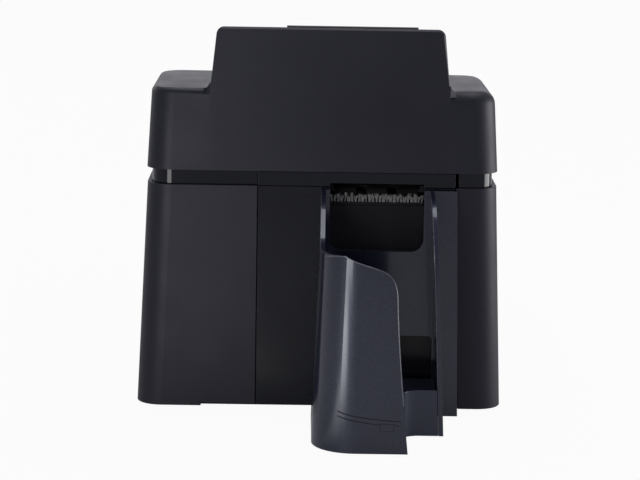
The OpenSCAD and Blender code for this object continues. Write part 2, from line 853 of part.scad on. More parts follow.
// Pulley for a flat toothed belt, along X, with a rim on each side
module pulley(x, r) {
    rod_x(x + pulley_gap, x + pulley_gap + belt_w, r - fixed_gap);
    rod_x(x + pulley_gap / 4, x + pulley_gap, r + pulley_rim);
    rod_x(x + pulley_gap + belt_w, x + 1.75 * pulley_gap + belt_w, r + pulley_rim);
}
belt_x = frame_x[0] - plate_t - 2 * pulley_gap - belt_w;
exit_belt_x = frame_x[1] + plate_t;
gear_gap = 6;
gear_x = belt_x - gear_gap;
gear_w = 4;

// Bores of both side frames, one station and level each
bores = [[exit_u, exit_z - roller_r], [pick_u, pick_z], [feed_u, path_z - roller_r],
    [platen_u, path_z - platen_r], [rear_u, path_z - roller_r], [feed_u, clean_z]];
// Tie rods: stations and levels
rods = [[30, 40], [90, 60], [196, 60], [308, 60], [110, 136], [308, 132]];
// Lightening windows of the side frames: first and last station
frame_windows = [[44, 80], [100, 136], [150, 186], [256, 292]];
frame_window_z = [30, 74];
slot_half = shaft_r + 4 * run_gap;

// Outline of a side frame in stations and levels
module frame_outline() {
    difference() {
        polygon([[frame_u[0], pan_z], [frame_u[1], pan_z], [frame_u[1], frame_low_z - bush_r],
            [frame_u[1] - 2 * bush_r, frame_high_z - bush_r], [supply_u, frame_high_z - bush_r],
            [head_u + 3 * bush_r, frame_high_z], [tilt_u, frame_high_z],
            [tilt_u - 2 * bush_r, frame_low_z], [frame_u[0] + bush_r, frame_low_z],
            [frame_u[0], frame_low_z - bush_r]]);
        for (b = bores)
            translate(b)
                circle(r = bush_r + fixed_gap);
        for (b = rods)
            translate(b)
                circle(r = hinge_pin_r + fixed_gap);
        for (w = frame_windows)
            round_rect([w[0], frame_window_z[0]], [w[1], frame_window_z[1]], bush_r);
        translate([head_u, head_z])
            circle(r = hinge_pin_r + run_gap);
        translate([tilt_u, path_z - guide_t])
            circle(r = tilt_pin_r + run_gap);
        translate([cam_u, cam_z])
            circle(r = shaft_r + run_gap);
        for (s = [[take_up_u, take_up_z], [supply_u, supply_z]]) {
            translate(s)
                circle(r = slot_half);
            translate([s[0] - slot_half, s[1]])
                square([2 * slot_half, frame_high_z - s[1] + over]);
        }
    }
}
module frame_left() {
    color([0.72, 0.73, 0.75])
        difference() {
            at(0, 0)
                along_x(frame_x[0] - plate_t, frame_x[0])
                    frame_outline();
            at(motor_u, motor_z)
                rod_x(frame_x[0] - plate_t - over, frame_x[0] + over, motor_pulley_r + 2 * pulley_rim);
            at(pick_u, pick_motor_z)
                rod_x(frame_x[0] - plate_t - over, frame_x[0] + over, 2 * shaft_r);
        }
}
module frame_right() {
    color([0.72, 0.73, 0.75])
        at(0, 0)
            along_x(frame_x[1], frame_x[1] + plate_t)
                frame_outline();
}
module tie_rods() {
    color("silver")
        for (b = rods)
            at(b[0], b[1]) {
                rod_x(frame_x[0] + clear / 3, frame_x[1] - clear / 3, shaft_r);
                rod_x(frame_x[0] - plate_t, frame_x[1] + plate_t, hinge_pin_r);
            }
}
module shaft_bushes() {
    color([0.9, 0.9, 0.86])
        for (b = bores)
            at(b[0], b[1])
                for (side = [0, 1])
                    difference() {
                        x = frame_x[side];
                        out = side * 2 - 1;
                        union() {
                            rod_x(min(x, x + out * plate_t), max(x, x + out * plate_t), bush_r);
                            rod_x(min(x, x - out * bush_flange), max(x, x - out * bush_flange),
                                bush_r + bush_flange);
                        }
                        rod_x(x - 2 * plate_t, x + 2 * plate_t, shaft_r + run_gap);
                    }
}

// Card stack and guides

module input_well() {
    half = card_w / 2 + clear;
    side = frame_gap / 2 - clear;
    floor = input_z - well_floor_t;
    color([0.2, 0.2, 0.22])
        at(well_u, 0)
            difference() {
                union() {
                    box([card_x - half - well_wall, 0, floor], [card_x + half + well_wall, well_len, input_z + well_h]);
                    box([card_x - side, 0, floor], [card_x + side, well_len, floor + 3 * well_floor_t]);
                }
                box([card_x - half, well_wall, input_z], [card_x + half, well_len - well_wall,
                    input_z + well_h + over]);
                box([card_x - half, well_len - well_wall - over, input_z], [card_x + half, well_len + over,
                    input_z + card_slit]);
                box([card_x - tyre_half / 2, pick_u - well_u - pick_r - clear, floor - over],
                    [card_x + tyre_half / 2, pick_u - well_u + pick_r + clear, input_z + over]);
                box([card_x - half / 2, -over, input_z + well_h / 2], [card_x + half / 2, well_wall + over,
                    input_z + well_h + over]);
                translate([0, -front_y - well_u, 0])
                    bush_room();
            }
}
weight_gap = 0.6;
weight_t = 8;
module card_weight() {
    half = card_w / 2 - weight_gap;
    z = input_z + pick_crown + clear;
    color([0.5, 0.5, 0.52])
        at(well_u + well_wall, 0) {
            y0 = weight_gap;
            y1 = card_len - weight_gap;
            box([card_x - half, y0, z], [card_x + half, y1, z + weight_t]);
            box([card_x - half / 2, (y0 + y1) / 2 - weight_t / 4, z + weight_t / 2],
                [card_x + half / 2, (y0 + y1) / 2 + weight_t / 4, z + 2 * weight_t]);
        }
}
// Room for the flanges of the shaft bushes, just inside both side frames
module bush_room() {
    room = bush_r + bush_flange + clear;
    for (b = bores)
        at(b[0], b[1]) {
            rod_x(frame_x[0] - plate_t, frame_x[0] + bush_flange + clear, room);
            rod_x(frame_x[1] - bush_flange - clear, frame_x[1] + plate_t, room);
        }
}
// Flat guide plate with raised edges, open at given windows: [station, half length]
module guide(u0, u1, z, windows) {
    side = frame_gap / 2 - clear;
    half = card_w / 2 + clear;
    difference() {
        union() {
            box([card_x - side, front_y + u0, z - guide_t], [card_x + side, front_y + u1, z]);
            for (s = [-1, 1])
                translate([card_x + s * (side + half) / 2, 0, 0])
                    box([(half - side) / 2, front_y + u0, z - guide_t], [(side - half) / 2, front_y + u1,
                        z + guide_t]);
        }
        for (w = windows)
            box([card_x - tyre_half - clear, front_y + w[0] - w[1], z - guide_t - over],
                [card_x + tyre_half + clear, front_y + w[0] + w[1], z + over]);
    }
}
module exit_guide() {
    color([0.25, 0.25, 0.27])
        difference() {
            guide(exit_u - roller_r, tilt_u - tilt_len - clear - guide_t, exit_z, [[exit_u, roller_r + clear]]);
            bush_room();
        }
}
module path_guide() {
    color([0.25, 0.25, 0.27])
        difference() {
            guide(feed_u + roller_r + guide_t, frame_u[1] - guide_t, path_z,
                [[platen_u, platen_r + clear], [rear_u, roller_r + clear]]);
            bush_room();
        }
}
module tilt_guide() {
    half = card_w / 2 + clear;
    side = frame_gap / 2 - 2 * clear;
    color([0.33, 0.33, 0.36]) {
        box([card_x - half, front_y + tilt_u - tilt_len, path_z - guide_t],
            [card_x + half, front_y + tilt_u + guide_t, path_z]);
        at(tilt_u, path_z - guide_t) {
            rod_x(card_x - side, card_x + side, guide_t);
            rod_x(frame_x[0] - plate_t / 2, frame_x[1] + plate_t / 2, tilt_pin_r);
        }
    }
}

// Rollers

module shaft(z, u, left, right) {
    at(u, z)
        rod_x(frame_x[0] - left, frame_x[1] + right, shaft_r);
}
module tyre(u, z, r, half) {
    at(u, z)
        difference() {
            rod_x(card_x - half, card_x + half, r);
            rod_x(card_x - half - over, card_x + half + over, shaft_r + fixed_gap);
        }
}
module exit_roller() {
    z = exit_z - roller_r;
    color([0.3, 0.3, 0.32]) {
        shaft(z, exit_u, plate_t, plate_t + 2 * pulley_gap + belt_w);
        at(exit_u, z) {
            for (s = [-1, 0, 1])
                translate([s * tyre_half * 0.75, 0, 0])
                    rod_x(card_x - tyre_half / 4, card_x + tyre_half / 4, roller_r);
            pulley(exit_belt_x, roller_r);
        }
    }
}
module pick_shaft() {
    z = pick_z;
    color("silver") {
        shaft(z, pick_u, plate_t + pulley_gap + gear_w, plate_t);
        at(pick_u, z)
            translate([frame_x[0] - plate_t - pulley_gap - gear_w, 0, 0])
                rotate([0, 90, 0])
                    rotate([0, 0, gear_turn])
                        gear(pick_teeth, gear_w, 0.9 * shaft_r);
    }
}
module pick_roller() {
    color([0.55, 0.25, 0.2])
        tyre(pick_u, pick_z, pick_r, tyre_half / 2 - clear);
}
module feed_shaft() {
    color("silver") {
        shaft(path_z - roller_r, feed_u, frame_x[0] - belt_x, plate_t + 2 * pulley_gap + belt_w);
        at(feed_u, path_z - roller_r) {
            pulley(belt_x, roller_r);
            pulley(exit_belt_x, roller_r);
        }
    }
}
module feed_roller() {
    color([0.2, 0.2, 0.2])
        tyre(feed_u, path_z - roller_r, roller_r, tyre_half);
}
module platen_shaft() {
    color("silver") {
        shaft(path_z - platen_r, platen_u, -belt_x + frame_x[0], plate_t);
        at(platen_u, path_z - platen_r)
            pulley(belt_x, platen_r);
    }
}
module platen_roller() {
    color([0.16, 0.16, 0.16])
        tyre(platen_u, path_z - platen_r, platen_r, tyre_half);
}
module rear_shaft() {
    color("silver") {
        shaft(path_z - roller_r, rear_u, -belt_x + frame_x[0], plate_t);
        at(rear_u, path_z - roller_r)
            pulley(belt_x, roller_r);
    }
}
module rear_roller() {
    color([0.2, 0.2, 0.2])
        tyre(rear_u, path_z - roller_r, roller_r, tyre_half);
}
module cleaning_roller() {
    color([0.55, 0.62, 0.75]) {
        shaft(clean_z, feed_u, plate_t, plate_t);
        at(feed_u, clean_z)
            rod_x(card_x - tyre_half, card_x + tyre_half, clean_r);
    }
}

// Motors and belts

pick_teeth = 44;
pinion_teeth = 14;
take_up_teeth = 38;
pick_motor_z = pick_z - gear_module * (pick_teeth + pinion_teeth) / 2;
ribbon_motor_z = take_up_z - gear_module * (take_up_teeth + pinion_teeth) / 2;
gear_turn = 0;
motor_side = 42;
motor_len = 38;
small_motor_r = 10;
small_motor_len = 30;
spindle_r = 2;
bracket_t = 1.6;
bracket_x = gear_x - pulley_gap - bracket_t;

module drive_motor() {
    x = frame_x[0] + clear;
    color([0.2, 0.2, 0.21])
        at(motor_u, motor_z)
            difference() {
                union() {
                    translate([x, -motor_side / 2, -motor_side / 2])
                        cube([motor_len, motor_side, motor_side]);
                    rod_x(x - plate_t / 2, x + plate_t, motor_pulley_r + pulley_rim);
                }
                rod_x(x - plate_t, x + motor_len / 2, spindle_r + run_gap);
            }
}
module drive_pulley() {
    color("silver")
        at(motor_u, motor_z) {
            rod_x(belt_x + pulley_gap, frame_x[0] + clear + motor_len / 2 - over, spindle_r);
            pulley(belt_x, motor_pulley_r);
        }
}
// Belt round a set of pulleys, each [station, level, radius]
module belt(x, pulleys) {
    color([0.1, 0.1, 0.1])
        at(0, 0)
            along_x(x + pulley_gap + clear, x + pulley_gap + belt_w - clear)
                difference() {
                    hull()
                        for (p = pulleys)
                            translate([p[0], p[1]])
                                circle(r = p[2] + belt_t + run_gap, $fn = 32);
                    hull()
                        for (p = pulleys)
                            translate([p[0], p[1]])
                                circle(r = p[2] + run_gap, $fn = 32);
                }
}
module drive_belt() {
    belt(belt_x, [[feed_u, path_z - roller_r, roller_r], [rear_u, path_z - roller_r, roller_r],
        [motor_u, motor_z, motor_pulley_r]]);
}
module exit_belt() {
    belt(exit_belt_x, [[exit_u, exit_z - roller_r, roller_r], [feed_u, path_z - roller_r, roller_r]]);
}
module small_motor(x, length) {
    difference() {
        union() {
            rod_x(min(x, x + length), max(x, x + length), small_motor_r);
        }
        rod_x(min(x - length / 3, x + length / 2), max(x - length / 3, x + length / 2), spindle_r + run_gap);
    }
}
// Pinion on a motor's spindle, meshed with a wheel straight above it
module pinion(x0, x1, x2) {
    rod_x(min(x0, x2), max(x0, x2), spindle_r);
    translate([x1, 0, 0])
        rotate([0, 90, 0])
            rotate([0, 0, 180 / pinion_teeth * (pinion_teeth % 2 == 0 ? 1 : 0)])
                gear(pinion_teeth, gear_w, 0.9 * spindle_r);
}
module pick_motor() {
    color([0.6, 0.6, 0.62])
        at(pick_u, pick_motor_z)
            small_motor(frame_x[0] + clear, small_motor_len);
}
module pick_pinion() {
    color([0.85, 0.8, 0.6])
        at(pick_u, pick_motor_z)
            pinion(frame_x[0] - plate_t - pulley_gap - gear_w, frame_x[0] - plate_t - pulley_gap - gear_w,
                frame_x[0] + clear + small_motor_len / 3);
}
module ribbon_motor() {
    color([0.6, 0.6, 0.62])
        at(take_up_u, ribbon_motor_z)
            small_motor(bracket_x - clear / 3, -small_motor_len);
}
module ribbon_pinion() {
    color([0.85, 0.8, 0.6])
        at(take_up_u, ribbon_motor_z)
            pinion(bracket_x - small_motor_len / 3, gear_x, gear_x + gear_w);
}
post_u = 19;
post_drop = [12, 14];
post_r = [2.5, 4];
module motor_bracket() {
    posts = [[-post_u, take_up_z - post_drop[0]], [post_u, take_up_z - post_drop[0]],
        [0, ribbon_motor_z - post_drop[1]]];
    color([0.72, 0.73, 0.75])
        difference() {
            union() {
                at(take_up_u, 0)
                    along_x(bracket_x, bracket_x + bracket_t)
                        hull()
                            for (p = posts)
                                translate(p)
                                    circle(r = post_r[1], $fn = 24);
                for (p = posts)
                    at(take_up_u + p[0], p[1])
                        rod_x(bracket_x, frame_x[0] - plate_t - fixed_gap, post_r[0]);
            }
            at(take_up_u, ribbon_motor_z)
                rod_x(bracket_x - over, bracket_x + bracket_t + over, 2 * spindle_r);
        }
}

// Ribbon

cheek_gap = 1.5;
cheek_x = frame_gap / 2 - cheek_gap;
cheek_t = 2;
roll_full = 12.5;
roll_small = 8;
flange_r = 14;
flange_small = 0.8 * flange_r;
film_t = 0.3;
film_half = 27;
// Cheek of the ribbon cartridge: how far it reaches round each spool
cheek_fore = 12;
cheek_back = 14;
cheek_drop = [8, 12];
cheek_rise = [5, 9, 11];
crossbar = 5;
crossbar_gap = 0.5;
crossbar_u = [16, 19];

module ribbon_cartridge() {
    top = take_up_z + cheek_rise[0];
    color([0.85, 0.86, 0.88]) {
        for (s = [-1, 1])
            at(0, 0)
                along_x(card_x + s * (cheek_x - cheek_t / 2) - cheek_t / 2,
                    card_x + s * (cheek_x - cheek_t / 2) + cheek_t / 2)
                    difference() {
                        polygon([[take_up_u - cheek_fore, take_up_z - cheek_drop[0]],
                            [take_up_u + cheek_back, take_up_z - cheek_drop[0]], [take_up_u + cheek_back, top],
                            [supply_u - cheek_back, top], [supply_u - cheek_back, supply_z - cheek_drop[1]],
                            [supply_u + cheek_back, supply_z - cheek_drop[1]],
                            [supply_u + cheek_back, supply_z + cheek_rise[0]],
                            [supply_u + 2 * cheek_t, supply_z + cheek_rise[1]],
                            [supply_u - cheek_back, top + 2 * cheek_t],
                            [take_up_u - cheek_fore, take_up_z + cheek_rise[2]]]);
                        translate([take_up_u, take_up_z])
                            circle(r = shaft_r + run_gap);
                        translate([supply_u, supply_z])
                            circle(r = shaft_r + run_gap);
                    }
        for (u = [take_up_u + crossbar_u[0], supply_u - crossbar_u[1]])
            box([card_x - cheek_x, front_y + u, top + crossbar_gap],
                [card_x + cheek_x, front_y + u + crossbar, top + crossbar_gap + cheek_t]);
    }
}
module spool(u, z, roll, left) {
    at(u, z) {
        rod_x(card_x - left, card_x + frame_gap / 2 + plate_t, shaft_r);
        rod_x(card_x - film_half, card_x + film_half, roll);
        for (s = [-1, 1])
            translate([s * (film_half + cheek_t / 4), 0, 0])
                rod_x(card_x - cheek_t / 4, card_x + cheek_t / 4, roll == roll_small ? flange_small : flange_r);
    }
}
module supply_spool() {
    color([0.35, 0.1, 0.3])
        spool(supply_u, supply_z, roll_full, frame_gap / 2 + plate_t);
}
module take_up_spool() {
    color([0.2, 0.25, 0.5]) {
        spool(take_up_u, take_up_z, roll_small, card_x - gear_x - gear_w / 2);
        at(take_up_u, take_up_z)
            translate([gear_x, 0, 0])
                rotate([0, 90, 0])
                    gear(take_up_teeth, gear_w, 0.9 * shaft_r);
    }
}
// Levels of the film above the printing level, and where it leaves the head
film_rise = [1.8, 3.2, 6];
film_nip = 4;
film_turn = 14;
module ribbon_film() {
    low = path_z + film_rise[0];
    mid = path_z + film_rise[1];
    high = path_z + film_rise[2];
    full_u = supply_u - roll_full;
    small_u = take_up_u + roll_small + clear;
    color([0.3, 0.2, 0.4])
        at(0, 0)
            along_x(card_x - film_half + clear, card_x + film_half - clear)
                polygon([[full_u - clear - film_t, supply_z], [full_u - clear, supply_z], [full_u, mid],
                    [platen_u + film_nip, low], [platen_u - film_nip, low], [platen_u - film_turn, high],
                    [small_u, take_up_z], [small_u + film_t, take_up_z],
                    [platen_u - film_turn + film_t, high + film_t], [platen_u - film_nip, low + film_t],
                    [platen_u + film_nip, low + film_t], [full_u - film_t, mid + film_t]]);
}

// Print head

head_bottom = path_z + 3;
head_half = 27;
head_t = 4;
head_y = [6, 7];
head_nose = [1.5, 2];
fin_count = 6;
fin_pitch = 2.4;
fin_t = 1;
cam_r = 6.2;
cam_lift = 1;
cam_w = 5;
cam_x = 18;
module print_head() {
    color([0.85, 0.85, 0.87])
        at(platen_u, head_bottom) {
            along_x(card_x - head_half, card_x + head_half)
                polygon([[-head_y[0], head_nose[1]], [-head_nose[0], 0], [head_nose[0], 0], [head_y[1], head_nose[1]],
                    [head_y[1], head_t], [-head_y[0], head_t]]);
            for (i = [0:fin_count - 1])
                box([card_x - head_half, i * fin_pitch - head_y[0], head_t - sliver],
                    [card_x + head_half, i * fin_pitch - head_y[0] + fin_t, 3 * head_t]);
        }
}
arm_t = [1.5, 2, 3];
module head_bracket() {
    z = head_bottom + 3 * head_t + clear / 3;
    cam_top = cam_z + cam_r + clear;
    fore = platen_u - head_y[0] - fin_t;
    aft = platen_u + head_y[1] - arm_t[0] / 3;
    color([0.7, 0.71, 0.73]) {
        at(0, 0)
            along_x(card_x - head_half, card_x + head_half)
                polygon([[fore, z], [aft, z], [cam_u - cam_r - cam_lift, cam_top], [head_u - arm_t[1], cam_top],
                    [head_u + arm_t[0], head_z - arm_t[0]], [head_u + arm_t[0], head_z + arm_t[1]],
                    [head_u - arm_t[2], head_z + arm_t[1]], [cam_u, cam_top + arm_t[2]],
                    [cam_u - cam_r, cam_top + arm_t[2]], [platen_u + 2 * arm_t[1], z + guide_t],
                    [fore, z + guide_t]]);
        at(head_u, head_z) {
            rod_x(frame_x[0] + clear, frame_x[1] - clear, 1.5 * hinge_pin_r);
            rod_x(frame_x[0] - plate_t, frame_x[1] + plate_t, hinge_pin_r);
        }
    }
}
// Distance of the cam's edge from its shaft at an angle: it rises, stays, falls and stays again
function cam_edge(a) = a <= 90 ? cam_r + cam_lift * a / 90 : a <= 180 ? cam_r + cam_lift
    : a <= 270 ? cam_r + cam_lift * (270 - a) / 90 : cam_r;
module head_cam() {
    color([0.8, 0.8, 0.72])
        at(cam_u, cam_z) {
            rod_x(frame_x[0] - plate_t, frame_x[1] + plate_t + small_motor_len / 3, shaft_r);
            for (s = [-1, 1])
                along_x(card_x + s * cam_x - cam_w / 2, card_x + s * cam_x + cam_w / 2)
                    polygon([for (a = [0:10:350]) cam_edge(a) * [cos(90 + a), sin(90 + a)]]);
        }
}
module head_motor() {
    color([0.6, 0.6, 0.62])
        at(cam_u, cam_z)
            difference() {
                rod_x(frame_x[1] + plate_t + clear / 3, frame_x[1] + plate_t + small_motor_len, small_motor_r);
                rod_x(frame_x[1], frame_x[1] + plate_t + small_motor_len / 2, shaft_r + run_gap);
            }
}

// Electronics and control panel

board_t = 1.6;
board_h = 100;
board_gap = 19;
board_x = board_gap - body_w / 2;
board_z = 22;
board_share = 0.515;
board_y = [front_y + 2 * corner_r, front_y + 2 * corner_r + board_share * body_len];
// Components on the board: half length, how far they stand from it, foot and height
part_half = 14;
part_reach = 12;
part_z = [20, 28];
board_foot = 6;
board_foot_h = 8;
module main_board() {
    long = board_y[1] - board_y[0];
    color([0.1, 0.3, 0.18]) {
        box([board_x, board_y[0], board_z], [board_x + board_t, board_y[1], board_z + board_h]);
        for (s = [0.2, 0.5, 0.8])
            box([board_x + board_t - sliver, board_y[0] + s * long - part_half, board_z + part_z[0]],
                [board_x + part_reach, board_y[0] + s * long + part_half, board_z + part_z[0] + part_z[1]]);
        for (s = [0.1, 0.9])
            box([board_x - sliver, board_y[0] + s * long - board_foot, pan_z],
                [board_x + board_t + sliver, board_y[0] + s * long + board_foot, board_z + board_foot_h]);
    }
}
supply_gap = 13;
supply_size = [64, 78, 60];
supply_rear = 42;
module power_supply() {
    x = supply_gap - body_w / 2;
    color([0.75, 0.75, 0.77])
        box([x, rear_y - supply_rear - supply_size[1], pan_z],
            [x + supply_size[0], rear_y - supply_rear, pan_z + supply_size[2]]);
}
module port_body(x, size, mouth, depth) {
    difference() {
        box([x - size[0] / 2, rear_y - port_depth, port_z - size[1] / 2],
            [x + size[0] / 2, rear_y - clear, port_z + size[1] / 2]);
        box([x - mouth[0] / 2, rear_y - clear - depth, port_z - mouth[1] / 2],
            [x + mouth[0] / 2, rear_y + over, port_z + mouth[1] / 2]);
    }
}
// Power inlet: mouth, depth, pins and the block behind it
inlet_mouth = [24, 16.6];
inlet_depth = 15;
pin_places = [[-7, -2.5], [7, -2.5], [0, 3]];
pin_half = [1, 2];
pin_set = 5.5;
inlet_block = [10, 6];
inlet_back = 30;
module power_inlet() {
    color([0.07, 0.07, 0.07]) {
        port_body(inlet_x, inlet, inlet_mouth, inlet_depth);
        for (p = pin_places)
            box([inlet_x + p[0] - pin_half[0], rear_y - port_depth + over / 2, port_z + p[1] - pin_half[1]],
                [inlet_x + p[0] + pin_half[0], rear_y - pin_set, port_z + p[1] + pin_half[1]]);
    }
    color([0.07, 0.07, 0.07])
        box([inlet_x - inlet_block[0], rear_y - inlet_back, port_z - inlet_block[1]],
            [inlet_x + inlet_block[0], rear_y - port_depth, port_z + inlet_block[1]]);
}
usb_mouth = [8.6, 7.8];
usb_depth = 12;
usb_tongue = [2.8, 1.6];
network_mouth = [11.8, 8.4];
network_depth = 13;
port_post = 5;
module data_ports() {
    color([0.7, 0.7, 0.72]) {
        port_body(usb_x, usb, usb_mouth, usb_depth);
        box([usb_x - usb_tongue[0], rear_y - port_depth + over / 2, port_z - usb_tongue[1]],
            [usb_x + usb_tongue[0], rear_y - pin_set, port_z + usb_tongue[1]]);
        port_body(network_x, network, network_mouth, network_depth);
        box([usb_x - usb[0] / 2, rear_y - 2 * port_depth, port_z - network[1] / 2 - board_t],
            [network_x + network[0] / 2, rear_y - wall - clear, port_z - network[1] / 2]);
        for (x = [usb_x - usb[0] / 2, network_x + network[0] / 2 - port_post])
            box([x, rear_y - 2 * port_depth, pan_z], [x + port_post, rear_y - 2 * port_depth + port_post,
                port_z - network[1] / 2 - board_t + sliver]);
    }
}

button_u = [28, 42];
panel_lip = 2;
panel_set = 0.4;
stand_off = 4;
stand_share = [0.9, 0.7];
window_margin = 7;
window_set = 1.2;
button_proud = 0.72;
module control_panel() {
    half = [panel_len / 2 - clear, panel_h / 2 - clear];
    back = -wall - clear - panel_lip;
    color([0.09, 0.09, 0.1])
        on_side()
            difference() {
                union() {
                    box([back, -half[0], -half[1]], [-panel_set, half[0], half[1]]);
                    box([back, -half[0] - panel_lip, -half[1] - panel_lip], [back + panel_lip, half[0] + panel_lip,
                        half[1] + panel_lip]);
                    for (y = [-1, 1])
                        for (z = [-1, 1])
                            translate([back - stand_off, y * stand_share[0] * half[0], z * stand_share[1] * half[1]])
                                rod_x(0, stand_off + sliver, panel_lip);
                }
                box([back - over, window_margin - half[0], -window_h / 2],
                    [over, window_margin - half[0] + window_len, window_h / 2]);
                for (u = button_u)
                    translate([0, u, 0])
                        rod_x(back - over, over, button_r + 2 * run_gap);
            }
}
module display_window() {
    low = window_margin + clear - panel_len / 2;
    color([0.2, 0.3, 0.3])
        on_side()
            box([-wall - panel_lip, low + run_gap, run_gap - window_h / 2],
                [-window_set, low + window_len - run_gap, window_h / 2 - run_gap]);
}
module panel_board() {
    back = -wall - clear - panel_lip - stand_off;
    half = [panel_len / 2 - clear, panel_h / 2 - clear];
    color([0.1, 0.3, 0.18])
        on_side()
            box([back - board_t, -half[0], -half[1]], [back, half[0], half[1]]);
}
module button(u) {
    back = -wall - clear - panel_lip;
    color([0.35, 0.36, 0.38])
        on_side()
            translate([0, u, 0]) {
                rod_x(back - clear - sliver, button_proud, button_r);
                rod_x(back - clear / 2 - panel_lip / 2, back - clear / 2, button_r + panel_lip / 2);
            }
}
module button_feed() {
    button(button_u[0]);
}
module button_cancel() {
    button(button_u[1]);
}

base_shell();
base_pan();
rubber_feet();
front_panel();
band_front();
band_trim();
rear_cover();
lid_shell();
lid_hinge_pin();
input_door();
door_hinge_pins();
output_hopper();
hopper_floor();
brush_holder();
static_brush();
frame_left();
frame_right();
tie_rods();
shaft_bushes();
input_well();
card_weight();
exit_guide();
tilt_guide();
path_guide();
exit_roller();
pick_shaft();
pick_roller();
feed_shaft();
feed_roller();
platen_shaft();
platen_roller();
rear_shaft();
rear_roller();
cleaning_roller();
drive_motor();
drive_pulley();
drive_belt();
exit_belt();
pick_motor();
pick_pinion();
motor_bracket();
ribbon_motor();
ribbon_pinion();
ribbon_cartridge();
supply_spool();
take_up_spool();
ribbon_film();
print_head();
head_bracket();
head_cam();
head_motor();
main_board();
power_supply();
power_inlet();
data_ports();
control_panel();
display_window();
panel_board();
button_feed();
button_cancel();
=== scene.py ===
"""Desktop printer for plastic cards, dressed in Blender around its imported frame.

Every piece sits in the frame of the solids, in metres: X to the right seen from the card exit, Y to the rear
and Z up. Each class builds and dresses one sub-assembly, and main() runs them in order.
"""

import json
import logging
import math
from collections.abc import Callable, Sequence
from dataclasses import dataclass
from enum import Enum
from functools import cache

import bmesh
import bpy
import numpy as np
from mathutils import Matrix, Vector

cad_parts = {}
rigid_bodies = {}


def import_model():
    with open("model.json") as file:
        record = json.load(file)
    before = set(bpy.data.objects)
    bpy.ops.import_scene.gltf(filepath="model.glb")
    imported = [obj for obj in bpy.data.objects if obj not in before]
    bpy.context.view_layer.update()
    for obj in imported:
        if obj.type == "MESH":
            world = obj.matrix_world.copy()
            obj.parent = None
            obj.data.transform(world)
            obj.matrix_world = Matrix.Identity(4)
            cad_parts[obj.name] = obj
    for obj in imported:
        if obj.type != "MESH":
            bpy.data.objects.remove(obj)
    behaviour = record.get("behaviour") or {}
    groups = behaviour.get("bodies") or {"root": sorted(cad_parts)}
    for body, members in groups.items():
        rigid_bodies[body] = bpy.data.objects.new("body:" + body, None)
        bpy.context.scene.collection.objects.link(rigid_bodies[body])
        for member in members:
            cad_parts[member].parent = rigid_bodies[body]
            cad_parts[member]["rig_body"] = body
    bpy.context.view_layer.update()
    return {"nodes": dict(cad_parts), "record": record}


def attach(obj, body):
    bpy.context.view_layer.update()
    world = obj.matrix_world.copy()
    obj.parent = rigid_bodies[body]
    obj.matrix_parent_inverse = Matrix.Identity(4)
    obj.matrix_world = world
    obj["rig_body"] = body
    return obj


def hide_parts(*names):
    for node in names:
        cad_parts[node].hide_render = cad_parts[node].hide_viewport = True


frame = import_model()

Array = np.ndarray
Point = tuple[float, float, float]
Numbers = Sequence[float]
Rows = Sequence[Numbers]
Socket = bpy.types.NodeSocket
MM = 0.001
FRONT = -150.5
REAR = 237.5
CARD_X = 34.5
WHITE = (1, 1, 1, 1)
LOG = logging.getLogger("card_printer")


